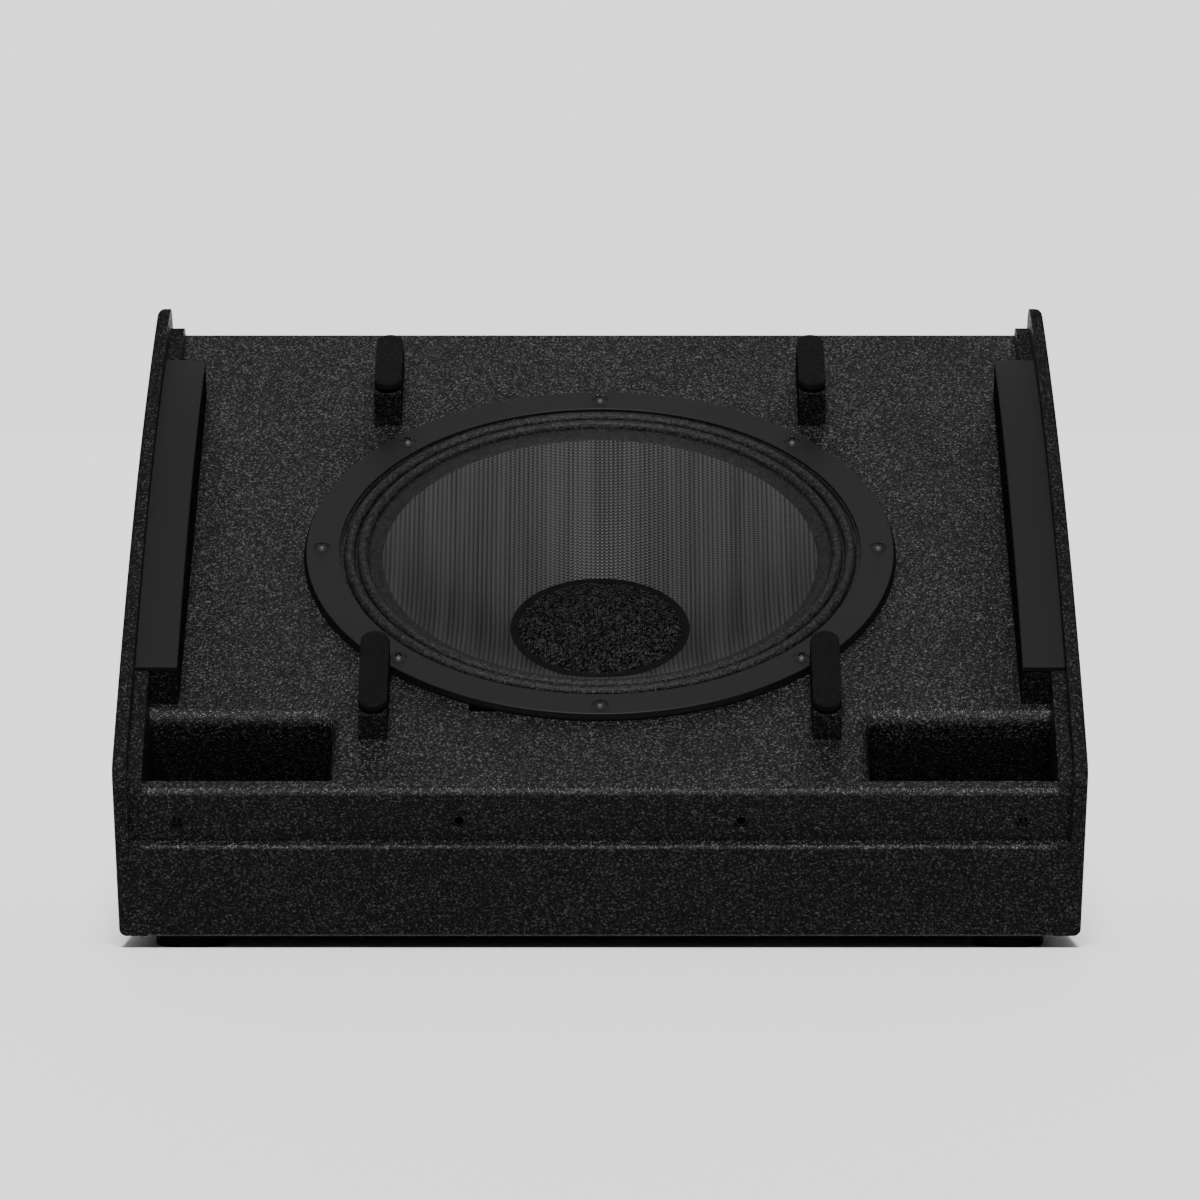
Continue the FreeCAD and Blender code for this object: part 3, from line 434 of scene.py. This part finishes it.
def spider_cloth(sizes, colours):
    """Resin stiffened cotton."""
    finish = Finish("spider_cloth", (0.36, 0.24, 0.10), 0.75)
    threads = plain_weave(finish, 1.1 * MM)
    finish.tint(threads * 0.6 + finish.noise(6 * MM) * 0.4, 0.7, 1.25)
    return finish.relief(threads, 0.15 * MM).material


def rubber(sizes, colours):
    """Moulded rubber with a dusty skin."""
    finish = Finish("foot_rubber", colours.rubber, 0.7, Specular_IOR_Level=0.04)
    dust = finish.noise(9 * MM, 4.0)
    skin = finish.noise(0.5 * MM, 2.0)
    finish.tint(dust, 0.6, 1.9)
    finish.feed("Roughness", 0.6 + 0.25 * dust)
    return finish.relief(skin, 0.03 * MM).material


def gasket_foam(sizes, colours):
    finish = Finish("gasket", colours.rubber, 0.9, Specular_IOR_Level=0.05)
    cells = finish.cells(0.9 * MM)
    finish.tint(cells, 0.6, 1.6)
    return finish.relief(cells, 0.12 * MM).material


def black_steel(sizes, colours):
    """Powder coat and black oxide on small steel parts."""
    finish = Finish("black_steel", (0.007, 0.007, 0.0073), 0.4)
    peel = finish.noise(0.9 * MM, 2.0)
    rub = finish.noise(5 * MM, 4.0, 0.65)
    finish.tint(finish.ramp(rub, 0.35, 0.75), 0.8, 1.5)
    finish.feed("Roughness", 0.34 + 0.2 * rub)
    return finish.relief(peel, 0.02 * MM).material


def cast_black(sizes, colours):
    """Painted casting of the driver's frame."""
    finish = Finish("driver_frame", (0.006, 0.006, 0.0062), 0.5)
    peel = finish.noise(1.4 * MM, 3.0)
    finish.tint(finish.noise(14 * MM), 0.75, 1.3)
    finish.feed("Roughness", 0.42 + 0.2 * peel)
    return finish.relief(peel, 0.06 * MM).material


def plated_steel(sizes, colours, name="zinc_steel", factor=1.0):
    """Zinc plate: fine streaks, small bright and dull areas."""
    finish = Finish(name, shade(colours.steel, factor), 0.35, Metallic=1.0)
    spangle = finish.cells(2.5 * MM)
    streak = finish.noise(1.0, 3.0, 0.6, finish.stretched((900, 90, 900)))
    finish.tint(spangle * 0.5 + streak * 0.5, 0.75, 1.2)
    finish.feed("Roughness", 0.26 + 0.25 * streak)
    return finish.relief(streak, 0.01 * MM).material


def motor_steel(sizes, colours):
    return plated_steel(sizes, colours, "motor_steel", 0.8)


def ferrite(sizes, colours):
    """Pressed and ground magnet ceramic with chipped specks."""
    finish = Finish("ferrite", (0.035, 0.035, 0.038), 0.6)
    specks = finish.noise(1.2 * MM, 4.0, 0.7)
    finish.tint(specks, 0.6, 1.6)
    return finish.relief(specks, 0.05 * MM).material


def moulded_plastic(sizes, colours):
    """Spark eroded moulding texture."""
    finish = Finish("moulded_plastic", colours.plastic, 0.48)
    spark = finish.noise(0.7 * MM, 3.0, 0.6)
    flow = finish.noise(40 * MM, 2.0)
    finish.tint(spark * 0.6 + flow * 0.4, 0.7, 1.45)
    finish.feed("Roughness", 0.42 + 0.16 * spark)
    return finish.relief(spark, 0.05 * MM).material


def copper_wire(sizes, colours):
    """Enamelled wire wound in even turns."""
    finish = Finish("coil_wire", colours.copper, 0.25, Metallic=1.0)
    axis_turns = abs((finish.along(AXIS) * (math.pi / (0.9 * MM))).sine())
    finish.tint(axis_turns * 0.6 + finish.noise(4 * MM) * 0.4, 0.6, 1.2)
    return finish.relief(axis_turns, 0.1 * MM).material


def former_film(sizes, colours):
    finish = Finish("former", (0.05, 0.045, 0.04), 0.4)
    finish.tint(finish.noise(3 * MM, 3.0), 0.7, 1.3)
    return finish.relief(finish.noise(0.8 * MM), 0.02 * MM).material


def pressed_metal(sizes, colours):
    finish = Finish("titanium", (0.5, 0.5, 0.52), 0.3, Metallic=1.0)
    draw = finish.noise(1.0, 2.0, 0.5, finish.stretched((300, 300, 60)))
    finish.tint(draw, 0.85, 1.1)
    finish.feed("Roughness", 0.22 + 0.2 * draw)
    return finish.relief(draw, 0.01 * MM).material


def circuit_board(sizes, colours):
    """Green board with darker copper areas under the mask."""
    finish = Finish("circuit_board", (0.015, 0.09, 0.03), 0.3)
    copper = finish.cells(9 * MM, "SMOOTH_F1").above(0.5)
    finish.feed("Base Color", finish.mix(copper, (0.012, 0.07, 0.024), (0.03, 0.16, 0.05)))
    return finish.relief(copper, 0.035 * MM).material


def film_can(sizes, colours):
    finish = Finish("film_cans", (0.42, 0.05, 0.03), 0.3)
    wrap = finish.noise(8 * MM, 3.0)
    finish.tint(wrap, 0.75, 1.2)
    return finish.relief(wrap, 0.1 * MM).material


def lead_sleeve(sizes, colours):
    """Braided sleeve over the internal leads."""
    finish = Finish("lead_sleeve", (0.02, 0.02, 0.021), 0.6)
    braid = plain_weave(finish, 1.0 * MM)
    finish.tint(braid, 0.5, 1.9)
    return finish.relief(braid, 0.12 * MM).material


def bare_ply(sizes, colours):
    """Birch plywood: long grain on the faces."""
    finish = Finish("raw_ply", colours.plywood, 0.7)
    stretch = finish.node("ShaderNodeMapping", None, {"Vector": finish.place(), "Scale": (9, 160, 160)})
    grain = finish.noise(1.0, 5.0, 0.6, stretch)
    finish.tint(finish.ramp(grain, 0.3, 0.7), 0.65, 1.2)
    return finish.relief(grain, 0.08 * MM).material


# Pieces that lie in shade; they take the paint's matt copy as painted shade.
SHADED_PARTS = ("port_duct", "post_block", "side_batten")
MAKERS = {
    "textured_paint": textured_paint, "thin_paint": thin_paint, "dull_paint": dull_paint,
    "raw_ply": bare_ply, "grille_foam": foam, "pad_foam": pad_foam, "foot_rubber": rubber,
    "zinc_steel": plated_steel, "black_steel": black_steel, "driver_frame": cast_black,
    "trim_ring": trim_ring, "gasket": gasket_foam, "surround_cloth": surround_cloth,
    "spider_cloth": spider_cloth, "cone_paper": cone_cloth, "cone_edge": cone_edge,
    "cap_mesh": cap_mesh, "cap_glue": cap_glue, "former": former_film, "coil_wire": copper_wire,
    "motor_steel": motor_steel, "ferrite": ferrite, "titanium": pressed_metal,
    "moulded_plastic": moulded_plastic, "circuit_board": circuit_board, "film_cans": film_can,
    "lead_sleeve": lead_sleeve,
}
made_finishes = {}


def finish_named(name):
    scene = bpy.context.scene
    if name not in made_finishes:
        made_finishes[name] = MAKERS[name](scene.wedge_sizes, scene.wedge_colours)
    return made_finishes[name]


def cover(piece, slot, finish=None):
    """Give a piece a finish, by default its material slot's own."""
    piece.data.materials.clear()
    piece.data.materials.append(finish_named(finish or slot))


def cover_where(piece, finish, chosen):
    """Give the faces that a test picks a finish of their own."""
    piece.data.materials.append(finish_named(finish))
    for face in piece.data.polygons:
        if chosen(face):
            face.material_index = 1


def looks_forward(face):
    """Whether a face looks the way the front board does, down the slope."""
    return face.normal.dot(UP_SLOPE) < -0.95


def is_edge_band(face):
    """Whether a face of a side panel is on its edge, and not on its flat sides."""
    return abs(face.normal.x) < 0.9


def cover_beyond(piece, radius, finish):
    """Give the faces further than a radius from the driver axis a finish of their own."""
    back = BAFFLE.inverted()
    cover_where(piece, finish, lambda face: math.hypot(*(back @ face.center).xy) > radius)


# --- modelling helpers -----------------------------------------------------------------

def fresh(name):
    """The object that an add operator has just made, renamed, in edit mode with all selected."""
    piece = bpy.context.active_object
    piece.name = name
    piece.data.name = name
    bpy.ops.object.mode_set(mode="EDIT")
    bpy.ops.mesh.select_all(action="SELECT")
    return piece


def clear_selection():
    bpy.ops.object.select_all(action="DESELECT")


def pull_rings(stations, close=False):
    """Extrude the selected ring through (radius, height) stations about the world Z axis."""
    for (radius, height), (next_radius, next_height) in zip(stations, stations[1:]):
        bpy.ops.mesh.extrude_region_move(TRANSFORM_OT_translate={"value": (0, 0, next_height - height)})
        size = next_radius / radius
        bpy.ops.transform.resize(value=(size, size, 1), center_override=(0, 0, 0))
    if close:
        bpy.ops.mesh.extrude_region_move(TRANSFORM_OT_translate={"value": (0, 0, 0)})
        bpy.ops.mesh.merge(type="CENTER")


def ring_sheet(name, stations, thick, steps, close=False):
    """Turned sheet about the driver axis, faces up, thickened below its face."""
    clear_selection()
    radius, height = stations[0]
    bpy.ops.mesh.primitive_circle_add(vertices=steps, radius=radius, location=(0, 0, height))
    piece = fresh(name)
    pull_rings(stations, close)
    bpy.ops.mesh.select_all(action="SELECT")
    bpy.ops.mesh.remove_doubles(threshold=NEAR)
    bpy.ops.mesh.normals_make_consistent(inside=False)
    bpy.ops.object.mode_set(mode="OBJECT")
    if sum(face.normal.z * face.area for face in piece.data.polygons) < 0:
        piece.data.flip_normals()
    shell = piece.modifiers.new("thickness", "SOLIDIFY")
    shell.thickness = thick
    shell.offset = -1.0
    shell.use_even_offset = True
    bpy.ops.object.modifier_apply(modifier=shell.name)
    return piece


def settle(piece, smooth_angle=40):
    """Smooth the piece and set it into the world from the baffle frame."""
    clear_selection()
    piece.select_set(True)
    bpy.context.view_layer.objects.active = piece
    piece.matrix_world = BAFFLE @ piece.matrix_world
    bpy.ops.object.transform_apply(location=True, rotation=True, scale=True)
    bpy.ops.object.shade_smooth_by_angle(angle=math.radians(smooth_angle))
    return piece


def roll(start, end, rise, steps):
    """Stations of a half round roll from one (radius, height) to another, without its start."""
    stations = []
    for i in range(1, steps + 1):
        turn = math.pi * i / steps
        share = (1 - math.cos(turn)) / 2
        stations.append((start[0] + (end[0] - start[0]) * share,
                         start[1] + (end[1] - start[1]) * share + rise * math.sin(turn) ** 0.9))
    return stations


def flex(piece):
    """Bake the placement of a ring, which lies between the cabinet at its outer radius and the cone at its inner
    one, into its mesh.
    """
    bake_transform(piece)


# --- operators -------------------------------------------------------------------------

class WEDGE_OT_finishes(bpy.types.Operator):
    """Give every cabinet, driver and hardware piece its finish"""
    bl_idname = "wedge.finishes"
    bl_label = "Finishes"

    def execute(self, context):
        slots = {row["node"]: row["material_slot"] for row in frame["record"]["subparts"]}
        for node, piece in frame["nodes"].items():
            if slots[node] not in MAKERS:
                raise RuntimeError("no finish for slot " + slots[node])
            # The pieces in shade take the matt copy of the paint as painted shade.
            cover(piece, slots[node], "thin_paint" if node.startswith(SHADED_PARTS) else None)
        # Painted shade: the front board's face and the side panels' edges take the paint's matt copy.
        cover_where(frame["nodes"]["front_panel"], "dull_paint", looks_forward)
        for side in SIDES:
            cover_where(frame["nodes"]["side_panel_" + side], "dull_paint", is_edge_band)
        return {"FINISHED"}


class WEDGE_OT_surround(bpy.types.Operator):
    """Model the double roll surround between frame and cone"""
    bl_idname = "wedge.surround"
    bl_label = "Surround"

    def execute(self, context):
        sizes = context.scene.wedge_sizes
        rim = radius_of("surround")
        cone_rim = radius_of("cone")
        outer, groove = 173.0 * MM, 163.0 * MM
        level, deep = -2.05 * MM, -4.3 * MM
        lean, trough, land = 0.4 * MM, 2.0 * MM, 0.9 * MM
        inner = (cone_rim + 0.3 * MM, -3.7 * MM)
        inner_rise = sizes.roll_rise * 0.85
        stations = [(rim, level), (outer, level), (outer - lean, deep), (outer - trough, deep)]
        stations += roll(stations[-1], (groove, deep), sizes.roll_rise, sizes.roll_steps)
        stations += [(groove - land, deep)]
        stations += roll(stations[-1], (inner[0] + land, deep), inner_rise, sizes.roll_steps)
        stations += [inner]
        piece = settle(ring_sheet("surround_rolls", stations, sizes.sheet_thick, sizes.ring_steps))
        cover(piece, "surround_cloth")
        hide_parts("surround")
        flex(piece)
        return {"FINISHED"}


class WEDGE_OT_spider(bpy.types.Operator):
    """Model the corrugated spider behind the cone"""
    bl_idname = "wedge.spider"
    bl_label = "Spider"

    def execute(self, context):
        sizes = context.scene.wedge_sizes
        level = -84.2 * MM
        outer, inner = 86.0 * MM, radius_of("coil_former") + 0.3 * MM
        folds, fold_steps, fold_rise = 6, 6, 1.8 * MM
        pitch = (outer - inner) / folds
        stations = [(radius_of("spider"), level), (outer, level)]
        for i in range(folds):
            side = 1 if i % 2 else -1
            stations += roll(stations[-1], (outer - (i + 1) * pitch, level), side * fold_rise, fold_steps)
        piece = settle(ring_sheet("spider_rings", stations, sizes.sheet_thick, sizes.ring_steps // 2))
        cover(piece, "spider_cloth")
        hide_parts("spider")
        flex(piece)
        return {"FINISHED"}


class WEDGE_OT_cone(bpy.types.Operator):
    """Model the cone with its treated edge and neck"""
    bl_idname = "wedge.cone"
    bl_label = "Cone"

    def execute(self, context):
        sizes = context.scene.wedge_sizes
        rim = radius_of("cone")
        edge, edge_level = 145.0 * MM, -7.5 * MM
        neck, neck_level = radius_of("coil_former"), -72.6 * MM
        stations = [(rim, -4.4 * MM), (rim - 1.0 * MM, -4.5 * MM),
                    (edge + 1.2 * MM, edge_level + 0.5 * MM), (edge, edge_level)]
        flank, bulge = 14, 1.3 * MM
        for i in range(1, flank + 1):
            share = i / flank
            swell = bulge * math.sin(math.pi * share)
            stations.append((edge + (neck - edge) * share,
                             edge_level + (neck_level - edge_level) * share + swell))
        piece = ring_sheet("woven_cone", stations, sizes.cone_thick, sizes.ring_steps)
        settle(piece, 25)
        cover(piece, "cone_paper")
        cover_beyond(piece, edge, "cone_edge")
        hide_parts("cone")
        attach(piece, CONE_BODY)
        return {"FINISHED"}


class WEDGE_OT_dust_cap(bpy.types.Operator):
    """Model the mesh dust cap with its glued rim"""
    bl_idname = "wedge.dust_cap"
    bl_label = "Dust cap"

    def execute(self, context):
        sizes = context.scene.wedge_sizes
        rim = radius_of("dust_cap")
        level = -65.0 * MM
        glued_rim, cloth = 5.6 * MM, 0.6 * MM
        foot = rim - glued_rim
        stations = [(rim, level), (foot + 0.6 * MM, level), (foot, level + 0.25 * MM)]
        bend = (foot ** 2 + sizes.cap_rise ** 2) / (2 * sizes.cap_rise)
        rings = 14
        for i in range(1, rings):
            radius = foot * (1 - i / rings)
            stations.append((radius, level + sizes.cap_rise - bend + math.sqrt(bend ** 2 - radius ** 2)))
        piece = settle(ring_sheet("mesh_cap", stations, cloth, sizes.ring_steps // 2, close=True), 25)
        cover(piece, "cap_mesh")
        # The flat rim takes black glue, darkened further as painted shade along the cap's lip.
        cover_beyond(piece, foot, "cap_glue")
        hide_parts("dust_cap")
        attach(piece, CONE_BODY)
        return {"FINISHED"}


class WEDGE_OT_grille_strips(bpy.types.Operator):
    """Model the two curved foam strips on the side ledges"""
    bl_idname = "wedge.grille_strips"
    bl_label = "Grille strips"

    def execute(self, context):
        for side in SIDES:
            self.strip(context.scene.wedge_sizes, side)
        return {"FINISHED"}

    def strip(self, sizes, side):
        node = "grille_strip_" + side
        low, high = local_box(node)
        points = local_points(node)
        side_skin = 0.1 * MM
        centre, radius = bend_of(points[points[:, 0] < low.x + side_skin])
        thick, bend_steps = 3.0 * MM, 72
        ends = [math.acos((y - centre[0]) / radius) for y in (low.y, high.y)]
        crest = Vector(((low.x + high.x) / 2, centre[0], centre[1] + radius + thick / 2))
        clear_selection()
        bpy.ops.mesh.primitive_plane_add(size=1, location=crest, rotation=(math.pi / 2, 0, 0))
        piece = fresh("foam_strip_" + side)
        bpy.ops.transform.resize(value=(high.x - low.x, 1, thick))
        bpy.ops.mesh.select_mode(type="VERT")
        bpy.ops.mesh.bevel(offset=sizes.foam_round, segments=4, affect="VERTICES")
        bpy.ops.mesh.select_all(action="SELECT")
        bpy.ops.mesh.delete(type="ONLY_FACE")
        bpy.ops.mesh.select_all(action="SELECT")
        bpy.ops.object.mode_set(mode="OBJECT")
        turn_section(piece, centre, ends[0] - math.pi / 2)
        bpy.ops.object.mode_set(mode="EDIT")
        bpy.ops.mesh.select_all(action="SELECT")
        bpy.ops.mesh.spin(steps=bend_steps, angle=ends[0] - ends[1], center=(0, *centre), axis=(1, 0, 0))
        bpy.ops.mesh.select_all(action="SELECT")
        bpy.ops.mesh.fill_holes(sides=0)
        bpy.ops.mesh.select_all(action="SELECT")
        bpy.ops.mesh.normals_make_consistent(inside=False)
        bpy.ops.object.mode_set(mode="OBJECT")
        settle(piece, 35)
        cover(piece, "grille_foam")
        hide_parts(node)
        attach(piece, CABINET)


class WEDGE_OT_gasket(bpy.types.Operator):
    """Model the foam gasket, with a black rim showing a little beyond the driver's flange as its dark outline"""
    bl_idname = "wedge.gasket"
    bl_label = "Gasket"

    def execute(self, context):
        sizes = context.scene.wedge_sizes
        low, high = local_box("driver_gasket")
        # The black rim beyond the trim ring draws the flange's dark outline.
        inner, outer = 179.0 * MM, radius_of("driver_trim") + sizes.gasket_outline_rim
        clear = 0.02 * MM
        top, thick = high.z - clear, high.z - low.z - 2 * clear
        piece = ring_sheet("foam_gasket", [(outer, top), (inner, top)], thick, sizes.ring_steps)
        settle(piece)
        cover(piece, "gasket")
        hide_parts("driver_gasket")
        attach(piece, CABINET)
        return {"FINISHED"}


class WEDGE_OT_post_pads(bpy.types.Operator):
    """Model the four crowned foam pads on the posts"""
    bl_idname = "wedge.post_pads"
    bl_label = "Post pads"

    def execute(self, context):
        for row in ("lower", "upper"):
            for side in SIDES:
                self.pad(context.scene.wedge_sizes, "post_pad_" + row + "_" + side)
        return {"FINISHED"}

    def pad(self, sizes, node):
        low, high = local_box(node)
        points = local_points(node)
        wide, long = high.x - low.x, high.y - low.y
        rising = points[points[:, 2].argmax()][1] - points[points[:, 2].argmin()][1]
        lean = math.atan2(high.z - low.z - sizes.pad_thick, long) * (1 if rising > 0 else -1)
        clear_selection()
        bpy.ops.mesh.primitive_circle_add(vertices=48, radius=wide / 2, location=(0, 0, -sizes.pad_thick / 2))
        piece = fresh("foam_" + node)
        stretch_circle(piece, (long - wide) / 2)
        bpy.ops.mesh.edge_face_add()
        bpy.ops.mesh.extrude_region_move(TRANSFORM_OT_translate={"value": (0, 0, sizes.pad_thick)})
        for inset, lift in ((sizes.foam_round * 1.4, 0.35), (wide * 0.18, 0.2)):
            bpy.ops.mesh.inset(thickness=inset)
            bpy.ops.transform.translate(value=(0, 0, sizes.foam_round * lift))
        bpy.ops.mesh.select_all(action="SELECT")
        bpy.ops.mesh.normals_make_consistent(inside=False)
        bpy.ops.object.mode_set(mode="OBJECT")
        edge = piece.modifiers.new("edge", "BEVEL")
        edge.width, edge.segments, edge.limit_method = sizes.foam_round, 3, "ANGLE"
        bpy.ops.object.modifier_apply(modifier=edge.name)
        piece.matrix_world = Matrix.Translation((low + high) / 2) @ Matrix.Rotation(lean, 4, "X")
        settle(piece, 50)
        cover(piece, "grille_foam", "pad_foam")
        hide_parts(node)
        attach(piece, CABINET)


class WEDGE_OT_stage(bpy.types.Operator):
    """Pale floor, soft lights and the camera"""
    bl_idname = "wedge.stage"
    bl_label = "Stage"

    def execute(self, context):
        self.floor()
        self.lights()
        self.camera()
        return {"FINISHED"}

    def floor(self):
        floor_size = 60
        clear_selection()
        bpy.ops.mesh.primitive_plane_add(size=floor_size, location=(0, 0, 0))
        piece = fresh("floor")
        bpy.ops.object.mode_set(mode="OBJECT")
        finish = Finish("floor", (0.9, 0.9, 0.9), 0.9)
        piece.data.materials.append(finish.material)
        bpy.context.scene.world = studio_world(lit=0.1, seen=1.72)

    def lights(self):
        broad_light("key_light", towards=(0, -0.7, 0.71), strength=6.6, spread=16)
        broad_light("top_light", towards=(0, 0.6, 0.8), strength=0.3, spread=40)
        broad_light("rear_light", towards=(0, 0.96, 0.28), strength=1.8, spread=30)
        for side in (-1, 1):
            broad_light("side_light", towards=(side * 0.9, -0.1, 0.42), strength=0.45, spread=30)

    def camera(self):
        distance, rise, pitch = 4.5366, 0.03536, math.radians(2.03)
        data = bpy.data.cameras.new("camera")
        data.lens, data.sensor_width = 204.0, 36.0
        data.clip_end = 100.0
        camera = bpy.data.objects.new("camera", data)
        bpy.context.scene.collection.objects.link(camera)
        forward = Vector((0, math.cos(pitch), -math.sin(pitch)))
        upward = Vector((0, math.sin(pitch), math.cos(pitch)))
        camera.location = DRIVER - forward * distance - upward * rise
        camera.rotation_euler = (math.pi / 2 - pitch, 0, 0)
        bpy.context.scene.camera = camera


def bend_of(points):
    """Centre (y, z) and radius of the lower curve through a strip's points."""
    beside, skin = 1.5 * MM, 0.4 * MM
    section = points[np.argsort(points[:, 1])][:, 1:]
    ys, zs = section[:, 0], section[:, 1]
    lower = np.array([(y, z) for y, z in section if z <= zs[np.abs(ys - y) < beside].min() + skin])
    terms = np.c_[2 * lower, np.ones(len(lower))]
    cy, cz, rest = np.linalg.lstsq(terms, (lower ** 2).sum(1), rcond=None)[0]
    return (cy, cz), math.sqrt(rest + cy * cy + cz * cz)


def stretch_circle(piece, reach):
    """Pull the two halves of the circle being edited apart along Y."""
    for side in (1, -1):
        bpy.ops.mesh.select_all(action="DESELECT")
        bpy.ops.object.mode_set(mode="OBJECT")
        for vertex in piece.data.vertices:
            vertex.select = side * vertex.co.y > NEAR
        bpy.ops.object.mode_set(mode="EDIT")
        bpy.ops.transform.translate(value=(0, side * reach, 0))
    bpy.ops.mesh.select_all(action="SELECT")


def turn_section(piece, centre, angle):
    """Turn a section about a line across the baffle frame."""
    to_centre = Matrix.Translation((0, *centre))
    about = to_centre @ Matrix.Rotation(angle, 4, "X") @ to_centre.inverted()
    piece.matrix_world = about @ piece.matrix_world
    bpy.ops.object.transform_apply(location=True, rotation=True, scale=True)


def studio_world(lit, seen):
    """Even white surroundings: dim as a light, bright as a backdrop."""
    world = bpy.data.worlds.new("studio")
    studio = ShaderTree(world)
    ground = studio.tree.nodes["Background"]
    ground.inputs["Color"].default_value = (1, 1, 1, 1)
    looked_at = studio.node("ShaderNodeLightPath", output="Is Camera Ray")
    level = studio.node("ShaderNodeMapRange", None, {"Value": looked_at, "To Min": lit, "To Max": seen})
    studio.tree.links.new(level.socket, ground.inputs["Strength"])
    return world


def broad_light(name, towards, strength, spread):
    """Even light from one side of the studio, as soft as its spread in degrees."""
    away = 4.0
    data = bpy.data.lights.new(name, "SUN")
    data.energy, data.angle = strength, math.radians(spread)
    light = bpy.data.objects.new(name, data)
    bpy.context.scene.collection.objects.link(light)
    light.location = Vector(towards) * away
    light.rotation_euler = (-Vector(towards)).to_track_quat("-Z", "Y").to_euler()


class WEDGE_PT_panel(bpy.types.Panel):
    """Wedge pieces and finishes"""
    bl_idname = "WEDGE_PT_panel"
    bl_label = "Stage monitor wedge"
    bl_space_type = "VIEW_3D"
    bl_region_type = "UI"
    bl_category = "Wedge"

    def draw(self, context):
        layout = self.layout
        for group in (context.scene.wedge_sizes, context.scene.wedge_colours):
            box = layout.box()
            for key in group.bl_rna.properties.keys():
                if key not in ("rna_type", "name"):
                    box.prop(group, key)
        for step in STEPS:
            layout.operator(step.bl_idname)


STEPS = (WEDGE_OT_stage, WEDGE_OT_finishes, WEDGE_OT_surround, WEDGE_OT_spider, WEDGE_OT_cone,
         WEDGE_OT_dust_cap, WEDGE_OT_gasket, WEDGE_OT_grille_strips, WEDGE_OT_post_pads)
CLASSES = (WedgeSizes, WedgeColours, *STEPS, WEDGE_PT_panel)


def register():
    for cls in CLASSES:
        bpy.utils.register_class(cls)
    bpy.types.Scene.wedge_sizes = PointerProperty(type=WedgeSizes)
    bpy.types.Scene.wedge_colours = PointerProperty(type=WedgeColours)


def unregister():
    del bpy.types.Scene.wedge_colours
    del bpy.types.Scene.wedge_sizes
    for cls in reversed(CLASSES):
        bpy.utils.unregister_class(cls)


def main():
    register()
    for step in STEPS:
        group, name = step.bl_idname.split(".")
        getattr(getattr(bpy.ops, group), name)()


if __name__ == "__main__":
    main()
